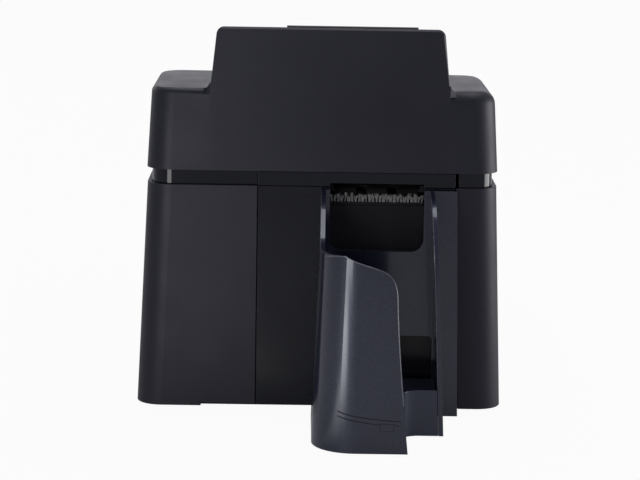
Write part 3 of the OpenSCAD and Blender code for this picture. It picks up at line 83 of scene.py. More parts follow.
@dataclass
class Nodes:
    """A node tree under construction."""

    tree: bpy.types.NodeTree

    @property
    def place(self) -> Socket:
        """Gives the object coordinates."""
        return self.add("TexCoord", {}, "Object")

    def feed(self, socket: Socket, value: Socket | float | Numbers) -> None:
        """Links an input to the output that feeds it, or sets it to a value.

        Args:
            socket: the input.
            value: an output or a value.
        """
        if isinstance(value, Socket):
            self.tree.links.new(value, socket)
        else:
            socket.default_value = value

    def add(self, kind: str, inputs: dict[str | int, object], out: str | int = 0, **settings: object) -> Socket:
        """Adds a node and gives one of its outputs.

        Args:
            kind: the node's type without the word ShaderNode.
            inputs: an output or a value for each named or numbered input.
            out: name or number of the wanted output.
            settings: the node's own settings.

        Returns:
            The output.
        """
        node = self.tree.nodes.new("ShaderNode" + kind)
        for name, value in settings.items():
            setattr(node, name, value)
        for name, value in inputs.items():
            self.feed(node.inputs[name], value)
        return node.outputs[out]

    def math(self, operation: str, *values: Socket | float) -> Socket:
        """Adds an arithmetic node and gives its result."""
        return self.add("Math", dict(enumerate(values)), operation=operation)

    def noise(self, vector: Socket, scale: float, detail: float) -> Socket:
        """Adds a noise texture, with its features per metre and octaves, and gives its value."""
        return self.add("TexNoise", {"Vector": vector, "Scale": scale, "Detail": detail}, "Fac")

    def ranged(self, value: Socket, start: Numbers, end: Numbers) -> Socket:
        """Maps a value from the range start to the range end and keeps it inside."""
        names = ("From Min", "From Max", "To Min", "To Max")
        return self.add("MapRange", {"Value": value, **dict(zip(names, (*start, *end)))}, "Result")

    def mixed(self, amount: Socket | float, first: Socket | Point, second: Socket | Point) -> Socket:
        """Mixes two colours.

        Args:
            amount: share of the second colour.
            first: a colour in thousandths, or the output that gives it.
            second: the other colour.

        Returns:
            The mixed colour.
        """
        first, second = (v if isinstance(v, Socket) else (*np.array(v) / 1000, 1) for v in (first, second))
        return self.add("Mix", {0: amount, 6: first, 7: second}, 2, data_type="RGBA")

    def flaked(self, colour: Socket, amount: float) -> Socket:
        """Scatters bright flakes: cells of a Voronoi pattern whose random value is above a threshold.

        Args:
            colour: the colour below.
            amount: how strong the flakes are.

        Returns:
            The colour with flakes.
        """
        cells = self.add("TexVoronoi", {"Scale": 3400, "Vector": self.place}, "Color")
        lit = self.ranged(self.add("SeparateColor", {0: cells}), (0.78, 1), (0, amount))
        return self.mixed(lit, colour, (120, 130, 160))

    def banded(self, colour: Socket, bands: Sequence[Point]) -> Socket:
        """Lays colour panels one after another along Y: the place over the period picks a step of a ramp.

        Args:
            colour: the colour below.
            bands: the panels' colours.

        Returns:
            The colour with panels.
        """
        scaled = self.math("MULTIPLY", self.add("SeparateXYZ", {0: self.place}, "Y"), 14)
        panels = self.add("ValToRGB", {0: self.math("FRACT", scaled)})
        ramp = panels.node.color_ramp
        ramp.interpolation = "CONSTANT"
        for index, band in enumerate(bands):
            stop = ramp.elements[index] if index < 2 else ramp.elements.new(1)
            stop.position, stop.color = index / len(bands), (*np.array(band) / 1000, 1)
        return self.mixed(0.85, colour, panels)

    def traced(self, colour: Socket) -> Socket:
        """Draws conductor lines: the mortar of a brick pattern laid over Y and Z.

        Args:
            colour: the board's colour.

        Returns:
            The colour with lines.
        """
        along, up = (self.add("SeparateXYZ", {0: self.place}, axis) for axis in "YZ")
        flat = self.add("CombineXYZ", {"X": along, "Y": up})
        pattern = {"Vector": flat, "Scale": 62, "Mortar Size": 0.018, "Brick Width": 0.9, "Row Height": 0.14}
        return self.mixed(self.add("TexBrick", pattern, "Fac"), colour, (30, 200, 70))

    def scratched(self) -> Socket:
        """Gives fine wiping marks: noise stretched along one direction and cut off below a threshold."""
        along = self.add("Mapping", {"Vector": self.place, "Rotation": (0.5, 0.35, 0.9), "Scale": (1, 1, 26)})
        return self.ranged(self.noise(along, 60, 3), (0.62, 0.8), (0, 1))


@dataclass(frozen=True)
class Recipe:
    """How a finish looks: colours in thousandths of linear light, depth in micrometres, scales per metre."""

    colour: Point
    shade: Point
    roughness: float
    mottle: float
    swing: float = 0.06
    metallic: float = 0.0
    specular: float = 0.5
    coat: float = 0.0
    coat_roughness: float = 0.08
    grain: float = 2600.0
    depth: float = 40.0
    stretch: Point = (1, 1, 1)
    flakes: float = 0.0
    scratches: float = 0.0
    bands: tuple[Point, ...] = ()
    tint: Point = (1, 1, 1)
    traces: bool = False


class Finish(Enum):
    """Finishes, most of them named like the record's material slots."""

    CASING = Recipe((12, 11.7, 17.6), (14.2, 13.9, 20.4), 0.47, 22, 0.04, specular=0.32, depth=50, tint=(0.9, 0.9, 1))
    DOOR = Recipe((17, 17, 20), (21, 20, 23), 0.5, 26, 0.05, specular=0.36)
    INNER_BLACK = Recipe((8, 7.6, 10.5), (11, 10.5, 13.5), 0.6, 60, specular=0.2)
    GLOSS_BLACK = Recipe(
        (5, 5.5, 9.5), (6, 6.5, 11), 0.26, 9, 0.05, specular=0.22, coat=0.1, coat_roughness=0.1, depth=12, grain=1500,
        scratches=0.3
    )
    GLOSS_BAND = Recipe(
        (2, 2.7, 7.5), (2.8, 3.5, 9), 0.1, 12, 0.02, specular=0.16, coat=0.4, coat_roughness=0.05, depth=8, grain=900
    )
    HOPPER = Recipe(
        (4.5, 5.2, 13.5), (5.6, 6.4, 16), 0.3, 14, 0.03, metallic=0.15, specular=0.45, coat=0.9, coat_roughness=0.11,
        grain=3000, depth=20, flakes=0.3, tint=(0.82, 0.86, 1)
    )
    # Several times lighter than the hopper's colour, which partly paints in the light that falls on the floor from the
    # upper front.
    HOPPER_FLOOR = Recipe(
        (20, 22, 38), (24, 26, 43), 0.33, 18, 0.04, metallic=0.3, coat=0.6, coat_roughness=0.2, tint=(0.82, 0.86, 1),
        grain=3000, depth=20, flakes=0.25
    )
    FOOT_RUBBER = Recipe((12, 12, 12), (20, 19, 18), 0.85, 120, specular=0.25)
    BRISTLE = Recipe((500, 500, 480), (280, 280, 270), 0.6, 420, specular=0.3, grain=6000)
    SHEET_STEEL = Recipe(
        (460, 470, 480), (600, 600, 580), 0.36, 30, 0.08, metallic=1, grain=700, depth=10, scratches=0.5
    )
    STEEL = Recipe(
        (560, 560, 570), (660, 660, 660), 0.24, 50, 0.06, metallic=1, grain=2500, depth=12, stretch=(8, 1, 1)
    )
    BUSH = Recipe((620, 610, 550), (700, 690, 620), 0.45, 90)
    WEIGHT = Recipe((50, 50, 55), (70, 70, 75), 0.48, 35, 0.1, depth=80)
    TILT = Recipe((35, 36, 42), (50, 50, 56), 0.42, 40)
    ROLLER_RUBBER = Recipe((14, 14, 14), (22, 22, 21), 0.78, 90, specular=0.22, depth=60, stretch=(0.25, 1, 1))
    PICK_RUBBER = Recipe((280, 50, 30), (200, 40, 28), 0.8, 80, specular=0.3, depth=60, stretch=(0.25, 1, 1))
    CLEAN_RUBBER = Recipe((60, 160, 420), (80, 200, 480), 0.38, 40, coat=0.3)
    BELT = Recipe((12, 12, 12), (24, 23, 22), 0.75, 200, specular=0.3)
    MOTOR = Recipe((200, 200, 210), (270, 270, 280), 0.4, 45, 0.1, metallic=0.9, scratches=0.4)
    PINION = Recipe((550, 380, 130), (640, 460, 180), 0.3, 110, 0.08, metallic=1)
    CARTRIDGE = Recipe((550, 570, 600), (620, 630, 650), 0.5, 30, depth=60)
    SUPPLY_RIBBON = Recipe((60, 12, 45), (20, 12, 60), 0.22, 26, coat=0.4, stretch=(0.05, 1, 1), depth=20)
    USED_RIBBON = Recipe((12, 16, 60), (50, 30, 20), 0.24, 30, coat=0.4, stretch=(0.05, 1, 1), depth=20)
    HEAD_ALLOY = Recipe((660, 660, 670), (740, 740, 740), 0.34, 40, 0.08, metallic=1, scratches=0.3)
    BOARD = Recipe((8, 70, 24), (12, 110, 38), 0.35, 150, 0.05, coat=0.35, traces=True)
    SOCKET = Recipe((14, 14, 14), (20, 20, 20), 0.5, 90)
    PORT = Recipe((580, 580, 570), (660, 660, 640), 0.28, 120, metallic=1)
    DISPLAY = Recipe((12, 20, 21), (18, 30, 30), 0.12, 16, 0.03, coat=0.8, coat_roughness=0.03, depth=4)
    BUTTON = Recipe((60, 60, 66), (75, 75, 80), 0.46, 70)
    FILM = Recipe(
        (20, 20, 20), (25, 25, 25), 0.16, 30, 0.04, coat=0.5, depth=10,
        bands=((550, 420, 30), (400, 30, 160), (20, 160, 400), (12, 12, 14))
    )
    # Light colour of the tubes that paint the highlights along the hopper's upper edges.
    RIM = Recipe((85, 88, 110), (110, 115, 140), 0.3, 160, 0.08, metallic=0.4, coat=0.5)
    LENS = Recipe((30, 200, 60), (40, 260, 80), 0.12, 200, 0.03, coat=1, coat_roughness=0.03, depth=4)

    @property
    def slot(self) -> str:
        """The record's material slot; film, lenses and the hopper's painted edge highlights share the slot of what
        they belong to.
        """
        return {"FILM": "supply_ribbon", "LENS": "button", "RIM": "hopper"}.get(self.name, self.name.lower())

    @cache
    def material(self) -> bpy.types.Material:
        """Makes the material at its first use, with mottled colour, uneven gloss and grain.

        Returns:
            The Blender material.
        """
        recipe = self.value
        material = bpy.data.materials.new(self.name.lower())
        material.use_nodes = True
        nodes = Nodes(material.node_tree)
        mapped = nodes.add("Mapping", {"Vector": nodes.place, "Scale": recipe.stretch})
        cloud = nodes.noise(mapped, recipe.mottle, 5)
        gloss = nodes.noise(mapped, recipe.mottle * 1.7 + 5, 6)
        height = nodes.noise(mapped, recipe.grain, 2)
        colour = nodes.mixed(nodes.ranged(cloud, (0.35, 0.65), (0, 1)), recipe.colour, recipe.shade)
        rough = nodes.ranged(gloss, (0.3, 0.7), (recipe.roughness - recipe.swing, recipe.roughness + recipe.swing))
        if recipe.flakes:
            colour = nodes.flaked(colour, recipe.flakes)
        if recipe.bands:
            colour = nodes.banded(colour, recipe.bands)
        if recipe.traces:
            colour = nodes.traced(colour)
        if recipe.scratches:
            marks = nodes.scratched()
            rough = nodes.math("MULTIPLY_ADD", marks, 0.22 * recipe.scratches, rough)
            height = nodes.math("MULTIPLY_ADD", marks, -0.5 * recipe.scratches, height)
        bump = nodes.add("Bump", {"Strength": 0.6, "Distance": recipe.depth * 1e-6, "Height": height})
        shader = material.node_tree.nodes["Principled BSDF"]
        for name, value in {
            "Metallic": recipe.metallic, "Specular IOR Level": recipe.specular, "Coat Weight": recipe.coat,
            "Coat Roughness": recipe.coat_roughness, "Coat Tint": (*recipe.tint, 1),
            "Specular Tint": (*recipe.tint, 1), "Normal": bump, "Base Color": colour, "Roughness": rough,
        }.items():
            nodes.feed(shader.inputs[name], value)
        return material


@dataclass
class Surface:
    """Points and faces of a shape; faces come in blocks, each an array of faces with equally many corners."""

    points: Array
    faces: list[Array]

    def moved(self, offset: Numbers) -> "Surface":
        """Gives the shape shifted by an offset."""
        return Surface(self.points + np.asarray(offset, float), self.faces)

    def framed(self, origin: Numbers, axes: Rows) -> "Surface":
        """Puts the shape into a frame: each point becomes origin + x·X + y·Y + z·Z."""
        return Surface(np.asarray(origin, float) + self.points @ np.asarray(axes, float), self.faces)

    def repeated(self, offsets: Array | Sequence[Point]) -> "Surface":
        """Copies the shape to each offset, worked out as one array.

        Args:
            offsets: one row of X, Y and Z per copy.

        Returns:
            All copies as one shape.
        """
        offsets = np.asarray(offsets, float).reshape(-1, 3)
        points = (self.points[None] + offsets[:, None]).reshape(-1, 3)
        step = len(self.points) * np.arange(len(offsets))[:, None, None]
        return Surface(points, [(faces[None] + step).reshape(-1, faces.shape[1]) for faces in self.faces])

    @staticmethod
    def joined(parts: Sequence["Surface"]) -> "Surface":
        """Puts several shapes into one.

        Args:
            parts: the shapes.

        Returns:
            One shape with all their points and faces.
        """
        starts = np.cumsum([0] + [len(part.points) for part in parts])
        faces = [block + start for part, start in zip(parts, starts) for block in part.faces]
        return Surface(np.concatenate([part.points for part in parts]), faces)


def lattice(points: Array, close_rows: bool = False, close_columns: bool = False) -> Surface:
    """Sheet of a grid of points: each face joins the four neighbours (i, j) to (i + 1, j + 1).

    Args:
        points: array of rows × columns × 3.
        close_rows: joins the last row to the first.
        close_columns: joins the last column to the first.

    Returns:
        The sheet.
    """
    rows, columns = points.shape[:2]
    i, j = np.indices((rows - 1 + close_rows, columns - 1 + close_columns))
    after_i, after_j = (i + 1) % rows, (j + 1) % columns
    corners = (i * columns + j, i * columns + after_j, after_i * columns + after_j, after_i * columns + j)
    return Surface(points.reshape(-1, 3), [np.stack(corners, -1).reshape(-1, 4)])


def loft(rings: Array) -> Surface:
    """Closed body of rings, an array of rings × points × 3, with a flat face on its first and last."""
    body, around = lattice(rings, close_columns=True), np.arange(rings.shape[1])
    return Surface(body.points, [*body.faces, np.stack([around[::-1], around + len(body.points) - len(around)])])


def circle(radius: float, count: int = 12, stretch: tuple[float, float] = (1, 1)) -> Array:
    """Outline of a circle about the origin, as points × 2, stretched along x and y."""
    angle = np.linspace(0, 2 * math.pi, count, endpoint=False)
    return radius * np.stack([np.cos(angle), np.sin(angle)], -1) * stretch


def rounded_rectangle(size: Numbers, radius: float, steps: int = 5) -> Array:
    """Outline of a rectangle about the origin: four quarter circles centre + radius·(cos a, sin a).

    Args:
        size: width and height.
        radius: corner radius.
        steps: points per corner, less one.

    Returns:
        Array of points × 2, anticlockwise.
    """
    angle = np.linspace(0, math.pi / 2, steps + 1)[None] + np.arange(4)[:, None] * math.pi / 2
    centre = np.array([[1, 1], [-1, 1], [-1, -1], [1, -1]]) * (np.asarray(size) / 2 - radius)
    return (centre[:, None] + radius * np.stack([np.cos(angle), np.sin(angle)], -1)).reshape(-1, 2)


def shrunk(outline: Array, distance: float) -> Array:
    """Moves an anticlockwise outline inwards: each point goes along the mean normal of its two edges.

    Args:
        outline: array of points × 2.
        distance: how far.

    Returns:
        The smaller outline.
    """
    edge = np.roll(outline, -1, 0) - outline
    edge /= np.maximum(np.linalg.norm(edge, axis=1, keepdims=True), 1e-12)
    normal = np.stack([-edge[:, 1], edge[:, 0]], -1)
    mean = normal + np.roll(normal, 1, 0)
    mean /= np.maximum((mean * normal).sum(1, keepdims=True), 0.2)
    return outline + mean * distance


def slab(outline: Array, low: float, high: float, edge: float) -> Surface:
    """Plate with rounded rims: its rings shrink by edge·(1 − sin a) as they rise by edge·(1 − cos a).

    Args:
        outline: array of points × 2, anticlockwise.
        low: height of its lower face.
        high: height of its upper face.
        edge: radius of the rims.

    Returns:
        The plate.
    """
    angle = np.linspace(0, math.pi / 2, 4)
    inset, rise = edge * (1 - np.sin(angle)), edge * (1 - np.cos(angle))
    inset, level = [*inset, *inset[::-1]], [*(low + rise), *(high - rise[::-1])]
    rings = [np.column_stack([shrunk(outline, s), np.full(len(outline), z)]) for s, z in zip(inset, level)]
    return loft(np.stack(rings))


def block(size: Numbers, edge: float) -> Surface:
    """Box of a size along X, Y and Z that stands on z = 0 about the origin, with rounded edges and corners."""
    return slab(rounded_rectangle(size[:2], edge, 4), 0, size[2], edge)


def turned(profile: Rows | Array, count: int = 48) -> Surface:
    """Body turned about Z, with flat ends: each profile point (r, z) becomes the ring (r·cos a, r·sin a, z)."""
    ring = np.column_stack([circle(1, count), np.ones(count)])
    return loft(np.asarray(profile, float)[:, None, [0, 0, 1]] * ring)


def swept(path: Array, outline: Array, up: Point = (0, 0, 1)) -> Surface:
    """Outline carried along a path: its x runs along path direction × up, its y along the third direction.

    Args:
        path: array of points × 3.
        outline: array of points × 2.
        up: rough upward direction, not along the path.

    Returns:
        The body, closed at both ends.
    """
    along = np.gradient(path, axis=0)
    along /= np.linalg.norm(along, axis=1, keepdims=True)
    side = np.cross(along, up)
    side /= np.linalg.norm(side, axis=1, keepdims=True)
    third = np.cross(side, along)
    return loft(path[:, None] + outline[None, :, :1] * side[:, None] + outline[None, :, 1:] * third[:, None])


def bezier(points: Rows, steps: int = 24) -> Array:
    """Cubic curve: the sum of the four points weighted with (1−t)³, 3(1−t)²t, 3(1−t)t² and t³."""
    t = np.linspace(0, 1, steps + 1)[:, None]
    return np.hstack([(1 - t) ** 3, 3 * (1 - t) ** 2 * t, 3 * (1 - t) * t**2, t**3]) @ np.asarray(points, float)


def facing(way: float) -> tuple[Point, Point, Point]:
    """Directions of a shape whose x runs along Y, its y along Z and its height along X or against it."""
    return (0, 1, 0), (0, 0, 1), (way, 0, 0)


def linked(name: str, data: bpy.types.ID) -> bpy.types.Object:
    """Puts data into the scene as an object and gives the object."""
    bpy.context.scene.collection.objects.link(thing := bpy.data.objects.new(name, data))
    return thing


class Assembly:
    """Shared means of the sub-assemblies: they turn surfaces into pieces and dress the nodes of the frame."""

    @staticmethod
    def coat(mesh: bpy.types.Mesh, finish: Finish) -> None:
        """Gives a mesh its finish as its only material, and smooth faces.

        Args:
            mesh: the mesh.
            finish: its finish.
        """
        mesh.materials.clear()
        mesh.materials.append(finish.material())
        mesh.polygons.foreach_set("use_smooth", np.ones(len(mesh.polygons), bool))

    def piece(
        self, name: str, shape: Surface | bmesh.types.BMesh, finish: Finish, body: str = "base",
        replaces: Sequence[str] = (), smooth: float = 40.0, bevel: float = 0.0,
    ) -> bpy.types.Object:
        """Puts a shape into the scene as a piece that rides on a body.

        Args:
            name: the piece's name.
            shape: a surface in millimetres or a mesh in metres.
            finish: its finish.
            body: the body it moves with.
            replaces: nodes that it stands for.
            smooth: edges flatter than this many degrees are shaded smooth.
            bevel: width of the rounding on its edges.

        Returns:
            The piece.
        """
        mesh = bpy.data.meshes.new(name)
        if isinstance(shape, Surface):
            polygons = [face for faces in shape.faces for face in faces.tolist()]
            mesh.from_pydata((shape.points * MM).tolist(), [], polygons)
            shape = bmesh.new()
            shape.from_mesh(mesh)
            bmesh.ops.recalc_face_normals(shape, faces=shape.faces)
        shape.to_mesh(mesh)
        shape.free()
        self.coat(mesh, finish)
        mesh.set_sharp_from_angle(angle=math.radians(smooth))
        piece = linked(name, mesh)
        if bevel:
            rounding = piece.modifiers.new("rounding", "BEVEL")
            rounding.width, rounding.segments, rounding.harden_normals = bevel * MM, 3, True
            rounding.limit_method, rounding.angle_limit = "ANGLE", math.radians(smooth)
        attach(piece, body)
        if replaces:
            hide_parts(*replaces)
        LOG.info("made %s", piece.name)
        return piece

    def skin(self, node: str, finish: Finish, bevel: float, smooth: float = 35.0) -> bpy.types.Object:
        """Stands in for a node with a copy of its shape, welded and with flat faces merged.

        Args:
            node: the node.
            finish: its finish.
            bevel: width of the rounding on its edges.
            smooth: edges flatter than this many degrees are shaded smooth.

        Returns:
            The piece.
        """
        source = frame["nodes"][node]
        shape = bmesh.new()
        shape.from_mesh(source.data)
        bmesh.ops.remove_doubles(shape, verts=shape.verts, dist=2e-6)
        bmesh.ops.dissolve_limit(
            shape, angle_limit=math.radians(0.2), verts=shape.verts, edges=shape.edges, use_dissolve_boundaries=False
        )
        return self.piece(node + "_skin", shape, finish, source["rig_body"], (node,), smooth, bevel)

    @staticmethod
    def reshape(
        piece: bpy.types.Object, cuts: Sequence[tuple[Point, Point]], move: Callable[[Array], Array], merge: bool
    ) -> None:
        """Cuts a piece along planes and moves all its points.

        Args:
            piece: the piece.
            cuts: a point and the normal of each plane.
            move: gives the new places of an array of points × 3.
            merge: whether points that have come together become one.
        """
        shape = bmesh.new()
        shape.from_mesh(piece.data)
        for place, normal in cuts:
            bmesh.ops.bisect_plane(
                shape, geom=shape.verts[:] + shape.edges[:] + shape.faces[:], dist=1e-6,
                plane_co=Vector(place) * MM, plane_no=normal,
            )
        places = move(np.array([vertex.co[:] for vertex in shape.verts]) / MM) * MM
        for vertex, place in zip(shape.verts, places):
            vertex.co = place
        if merge:
            bmesh.ops.remove_doubles(shape, verts=shape.verts[:], dist=1e-5)
        shape.to_mesh(piece.data)
        shape.free()

    def dress(self, finish: Finish, *nodes: str) -> None:
        """Gives nodes of the frame their finish, and shades their round faces smoothly.

        Args:
            finish: the finish.
            nodes: names of the nodes.
        """
        for name in nodes:
            node = frame["nodes"][name]
            self.coat(node.data, finish)
            node.modifiers.new("weld", "WELD").merge_threshold = 2e-6
            node.modifiers.new("split", "EDGE_SPLIT").split_angle = math.radians(35)
            LOG.info("dressed %s", name)


@dataclass
class Studio:
    """Camera, lamps, surroundings and floor. The viewpoint is the one fitted to the photograph."""

    position: Point = (-0.0161, -1.5068, 0.3655)
    yaw: float = math.radians(0.64)
    pitch: float = math.radians(10.45)
    roll: float = math.radians(0.99)
    focal: float = 2184.6
    picture_width: float = 640.0
    sensor: float = 36.0
    half_floor: float = 4.0
    world_level: float = 0.3
    lamps: tuple[tuple[str, Point, Point, float, float, float], ...] = (
        ("overhead", (0, 0.3, 2), (0, 0.05, 0.15), 1.6, 1.6, 20),
        ("rear_rim", (0, 2.6, 0.95), (0, 0, 0.2), 3, 0.9, 10),
        ("left_front", (-0.34, -0.84, 0.15), (-0.03, -0.2, 0.1), 0.26, 0.34, 1.4),
        ("right_side", (0.85, -0.05, 0.22), (0.1, -0.1, 0.12), 0.55, 0.42, 4),
        ("left_rear", (-1.6, 1.3, 0.7), (0, 0.1, 0.12), 0.8, 0.8, 4.2),
    )

    def build(self) -> None:
        """Makes the camera, the lamps, the surroundings and the floor."""
        self.camera()
        for name, place, target, width, height, power in self.lamps:
            data = bpy.data.lights.new(name, "AREA")
            data.shape = "RECTANGLE"
            data.size, data.size_y, data.energy = width, height, power
            lamp = linked(name, data)
            lamp.location = place
            lamp.visible_camera = False
            lamp.rotation_euler = (Vector(target) - Vector(place)).to_track_quat("-Z", "Y").to_euler()
        self.surroundings()
        self.floor()

    def camera(self) -> None:
        """Sets up the fitted view: the camera is rolled, raised to look ahead, pitched down and turned by its yaw."""
        data = bpy.data.cameras.new("viewpoint")
        data.sensor_fit, data.sensor_width = "HORIZONTAL", self.sensor
        data.lens = self.sensor * self.focal / self.picture_width
        data.clip_start, data.clip_end = 0.05, 30.0
        camera = linked("viewpoint", data)
        turns = ((-self.yaw, "Z"), (math.pi / 2 - self.pitch, "X"), (self.roll, "Z"))
        yaw, pitch, roll = (Matrix.Rotation(angle, 4, axis) for angle, axis in turns)
        camera.matrix_world = Matrix.Translation(self.position) @ yaw @ pitch @ roll
        bpy.context.scene.camera = camera

    def surroundings(self) -> None:
        """Lights from all sides at a plain level, and is white where the camera sees it."""
        world = bpy.data.worlds.new("surroundings")
        world.use_nodes = True
        bpy.context.scene.world = world
        nodes = Nodes(world.node_tree)
        seen = nodes.add("LightPath", {}, "Is Camera Ray")
        plain = nodes.add("Background", {"Color": (0.94, 0.96, 1.12, 1), "Strength": self.world_level})
        both = nodes.add("MixShader", {0: seen, 1: plain, 2: nodes.add("Background", {"Color": WHITE})})
        nodes.feed(world.node_tree.nodes["World Output"].inputs[0], both)

    def floor(self) -> None:
        """Lays a floor, nearly white to the camera; to glossy surfaces an ellipse of it is bright, which makes the
        highlight down the hopper's corner.
        """
        half = self.half_floor
        mesh = bpy.data.meshes.new("floor")
        mesh.from_pydata([(-half, -half, 0), (half, -half, 0), (half, half, 0), (-half, half, 0)], [], [(0, 1, 2, 3)])
        material = bpy.data.materials.new("floor")
        material.use_nodes = True
        nodes = Nodes(material.node_tree)
        shader = material.node_tree.nodes["Principled BSDF"]
        nodes.feed(shader.inputs["Base Color"], (0.5, 0.5, 0.5, 1))
        nodes.feed(shader.inputs["Roughness"], 0.8)
        ellipse = {"Location": (-0.235, -0.58, 0), "Rotation": (0, 0, math.radians(-31)), "Scale": (0.07, 0.42, 1)}
        mapped = nodes.add("Mapping", {"Vector": nodes.place, **ellipse}, vector_type="TEXTURE")
        patch = nodes.add("TexGradient", {"Vector": mapped}, "Fac", gradient_type="SPHERICAL")
        glossy = nodes.add("LightPath", {}, "Is Glossy Ray")
        reflected = nodes.math("MULTIPLY", glossy, nodes.math("MULTIPLY_ADD", patch, 2, 0.16))
        share = nodes.math("MULTIPLY_ADD", nodes.add("LightPath", {}, "Is Camera Ray"), 0.95, reflected)
        strength = nodes.math("MULTIPLY_ADD", nodes.math("MULTIPLY", patch, glossy), 7, 1)
        glow = nodes.add("Emission", {"Color": WHITE, "Strength": strength})
        both = nodes.add("MixShader", {0: share, 1: shader.outputs[0], 2: glow})
        nodes.feed(material.node_tree.nodes["Material Output"].inputs[0], both)
        mesh.materials.append(material)
        linked("floor", mesh)


@dataclass
class Casing(Assembly):
    """Lower casing, lid, rear cover and feet, with the screws that hold them."""

    rounding: float = 0.35
    screw_places: Rows = ((-94, 128), (94, 128), (-100, 16), (94, 16))
    shoulder: float = 210.3
    foot_levels: tuple[float, float] = (206.8, 213.9)
    foot_ends: Rows = ((79.05, 82.86, 1.8, 2.5), (-71.3, -75.06, 0.05, 3.9))

    def build(self) -> None:
        """Dresses the casing and adds its screws."""
        for node in ("base_shell", "rear_cover"):
            self.skin(node, Finish.CASING, self.rounding)
        cuts = [((inner, 0, 0), (1, 0, 0)) for inner, *_ in self.foot_ends]
        self.reshape(self.skin("lid_shell", Finish.CASING, self.rounding), cuts, self.eased, merge=False)
        self.skin("input_door", Finish.DOOR, 0.25)
        self.dress(Finish.INNER_BLACK, "base_pan")
        self.dress(Finish.FOOT_RUBBER, "rubber_feet")
        self.dress(Finish.STEEL, "lid_hinge_pin", "door_hinge_pins")
        profile = ((3.1, -0.6), (3.1, -0.2), (2.79, 0.02), (1.922, 0.12), (0.9, -0.1), (0.5, -0.35), (0.25, -0.9))
        head = turned(profile, 32).framed((0, REAR - 0.15, 0), ((-1, 0, 0), (0, 0, 1), (0, 1, 0)))
        screws = head.repeated([(x, 0, z) for x, z in self.screw_places])
        self.piece("casing_screws", screws, Finish.MOTOR)

    def eased(self, points: Array) -> Array:
        """Lays the roundings at the raised end's foot back onto the lid's front edge: points in the front face go
        back by s·(a + b·h), with s the share of the way out and h that of the way up to the shoulder.

        Args:
            points: array of points × 3 of the lid.

        Returns:
            The moved points.
        """
        low, high = self.foot_levels
        for inner, outer, first, second in self.foot_ends:
            share = (points[:, 0] - inner) / (outer - inner)
            rise = np.clip((points[:, 2] - low) / (self.shoulder - low), 0, 1)
            inside = (share > 0) & (share < 1.01) & (points[:, 2] > low - 0.01) & (points[:, 2] < high)
            inside &= points[:, 1] < FRONT + 0.01
            points[inside, 1] += (share * (first + second * rise))[inside]
        return points


@dataclass
class FrontEnd(Assembly):
    """Glossy front panel and band, and the antistatic brush in the card exit."""

    brush_low: float = 139.2
    brush_y: float = FRONT + 5.4
    brush_depth: float = 3.4
    brush_width: float = 57.4
    strands: int = 520
    strand_radius: float = 0.15
    length: float = 6.0
    tufts: int = 13

    def build(self) -> None:
        """Dresses panel and band and replaces the brush by its strands."""
        self.skin("front_panel", Finish.GLOSS_BLACK, 0.3)
        self.skin("band_trim", Finish.GLOSS_BAND, 0.2)
        self.skin("band_front", Finish.GLOSS_BAND, 0.25)
        self.dress(Finish.INNER_BLACK, "brush_holder")
        self.piece("brush_strands", self.brush(), Finish.BRISTLE, "base", ("static_brush",))
        strip = block((self.brush_width + 1.4, self.brush_depth + 0.8, 2), 0.25)
        strip = strip.moved((CARD_X, self.brush_y + self.brush_depth / 2, self.brush_low - 2))
        self.piece("brush_strip", strip, Finish.INNER_BLACK)

    def brush(self) -> Surface:
        """Bent strands in tufts. A strand is a four-sided tube round the curve root + t·up + t²·lean.

        Returns:
            The strands.
        """
        draw = np.random.default_rng(7)
        count = self.strands
        across = (np.arange(count) + draw.uniform(-0.4, 0.4, count)) / count
        tuft = np.round(across * self.tufts * 2) / (self.tufts * 2)
        pull = 0.45 + 0.3 * np.sin(tuft * 53)
        x = CARD_X + (across + pull * (tuft - across) - 0.5) * self.brush_width
        y = self.brush_y + self.brush_depth * draw.uniform(0.1, 0.9, count)
        phase = across * self.tufts * 2 * math.pi
        lean_x = -0.9 * np.sin(phase) + 0.5 * np.sin(across * 47) + draw.normal(0, 0.45, count)
        lean_y = draw.normal(-0.5, 0.5, count)
        height = self.length * (0.84 + 0.14 * np.sin(tuft * 91) + draw.uniform(-0.22, 0.04, count))
        none = np.zeros(count)
        root, rise, lean = (np.stack(parts, -1)[:, None, None] for parts in (
            (x, y, none + self.brush_low - 0.4), (none, none, height), (lean_x, lean_y, none)
        ))
        t = np.linspace(0, 1, 5)[None, :, None, None]
        ring = np.column_stack([circle(self.strand_radius, 4), np.zeros(4)])
        rings = root + t * rise + t**2 * lean + (1 - 0.35 * t) * ring
        return Surface(rings.reshape(-1, 3), loft(rings[0]).repeated(np.zeros((count, 3))).faces)


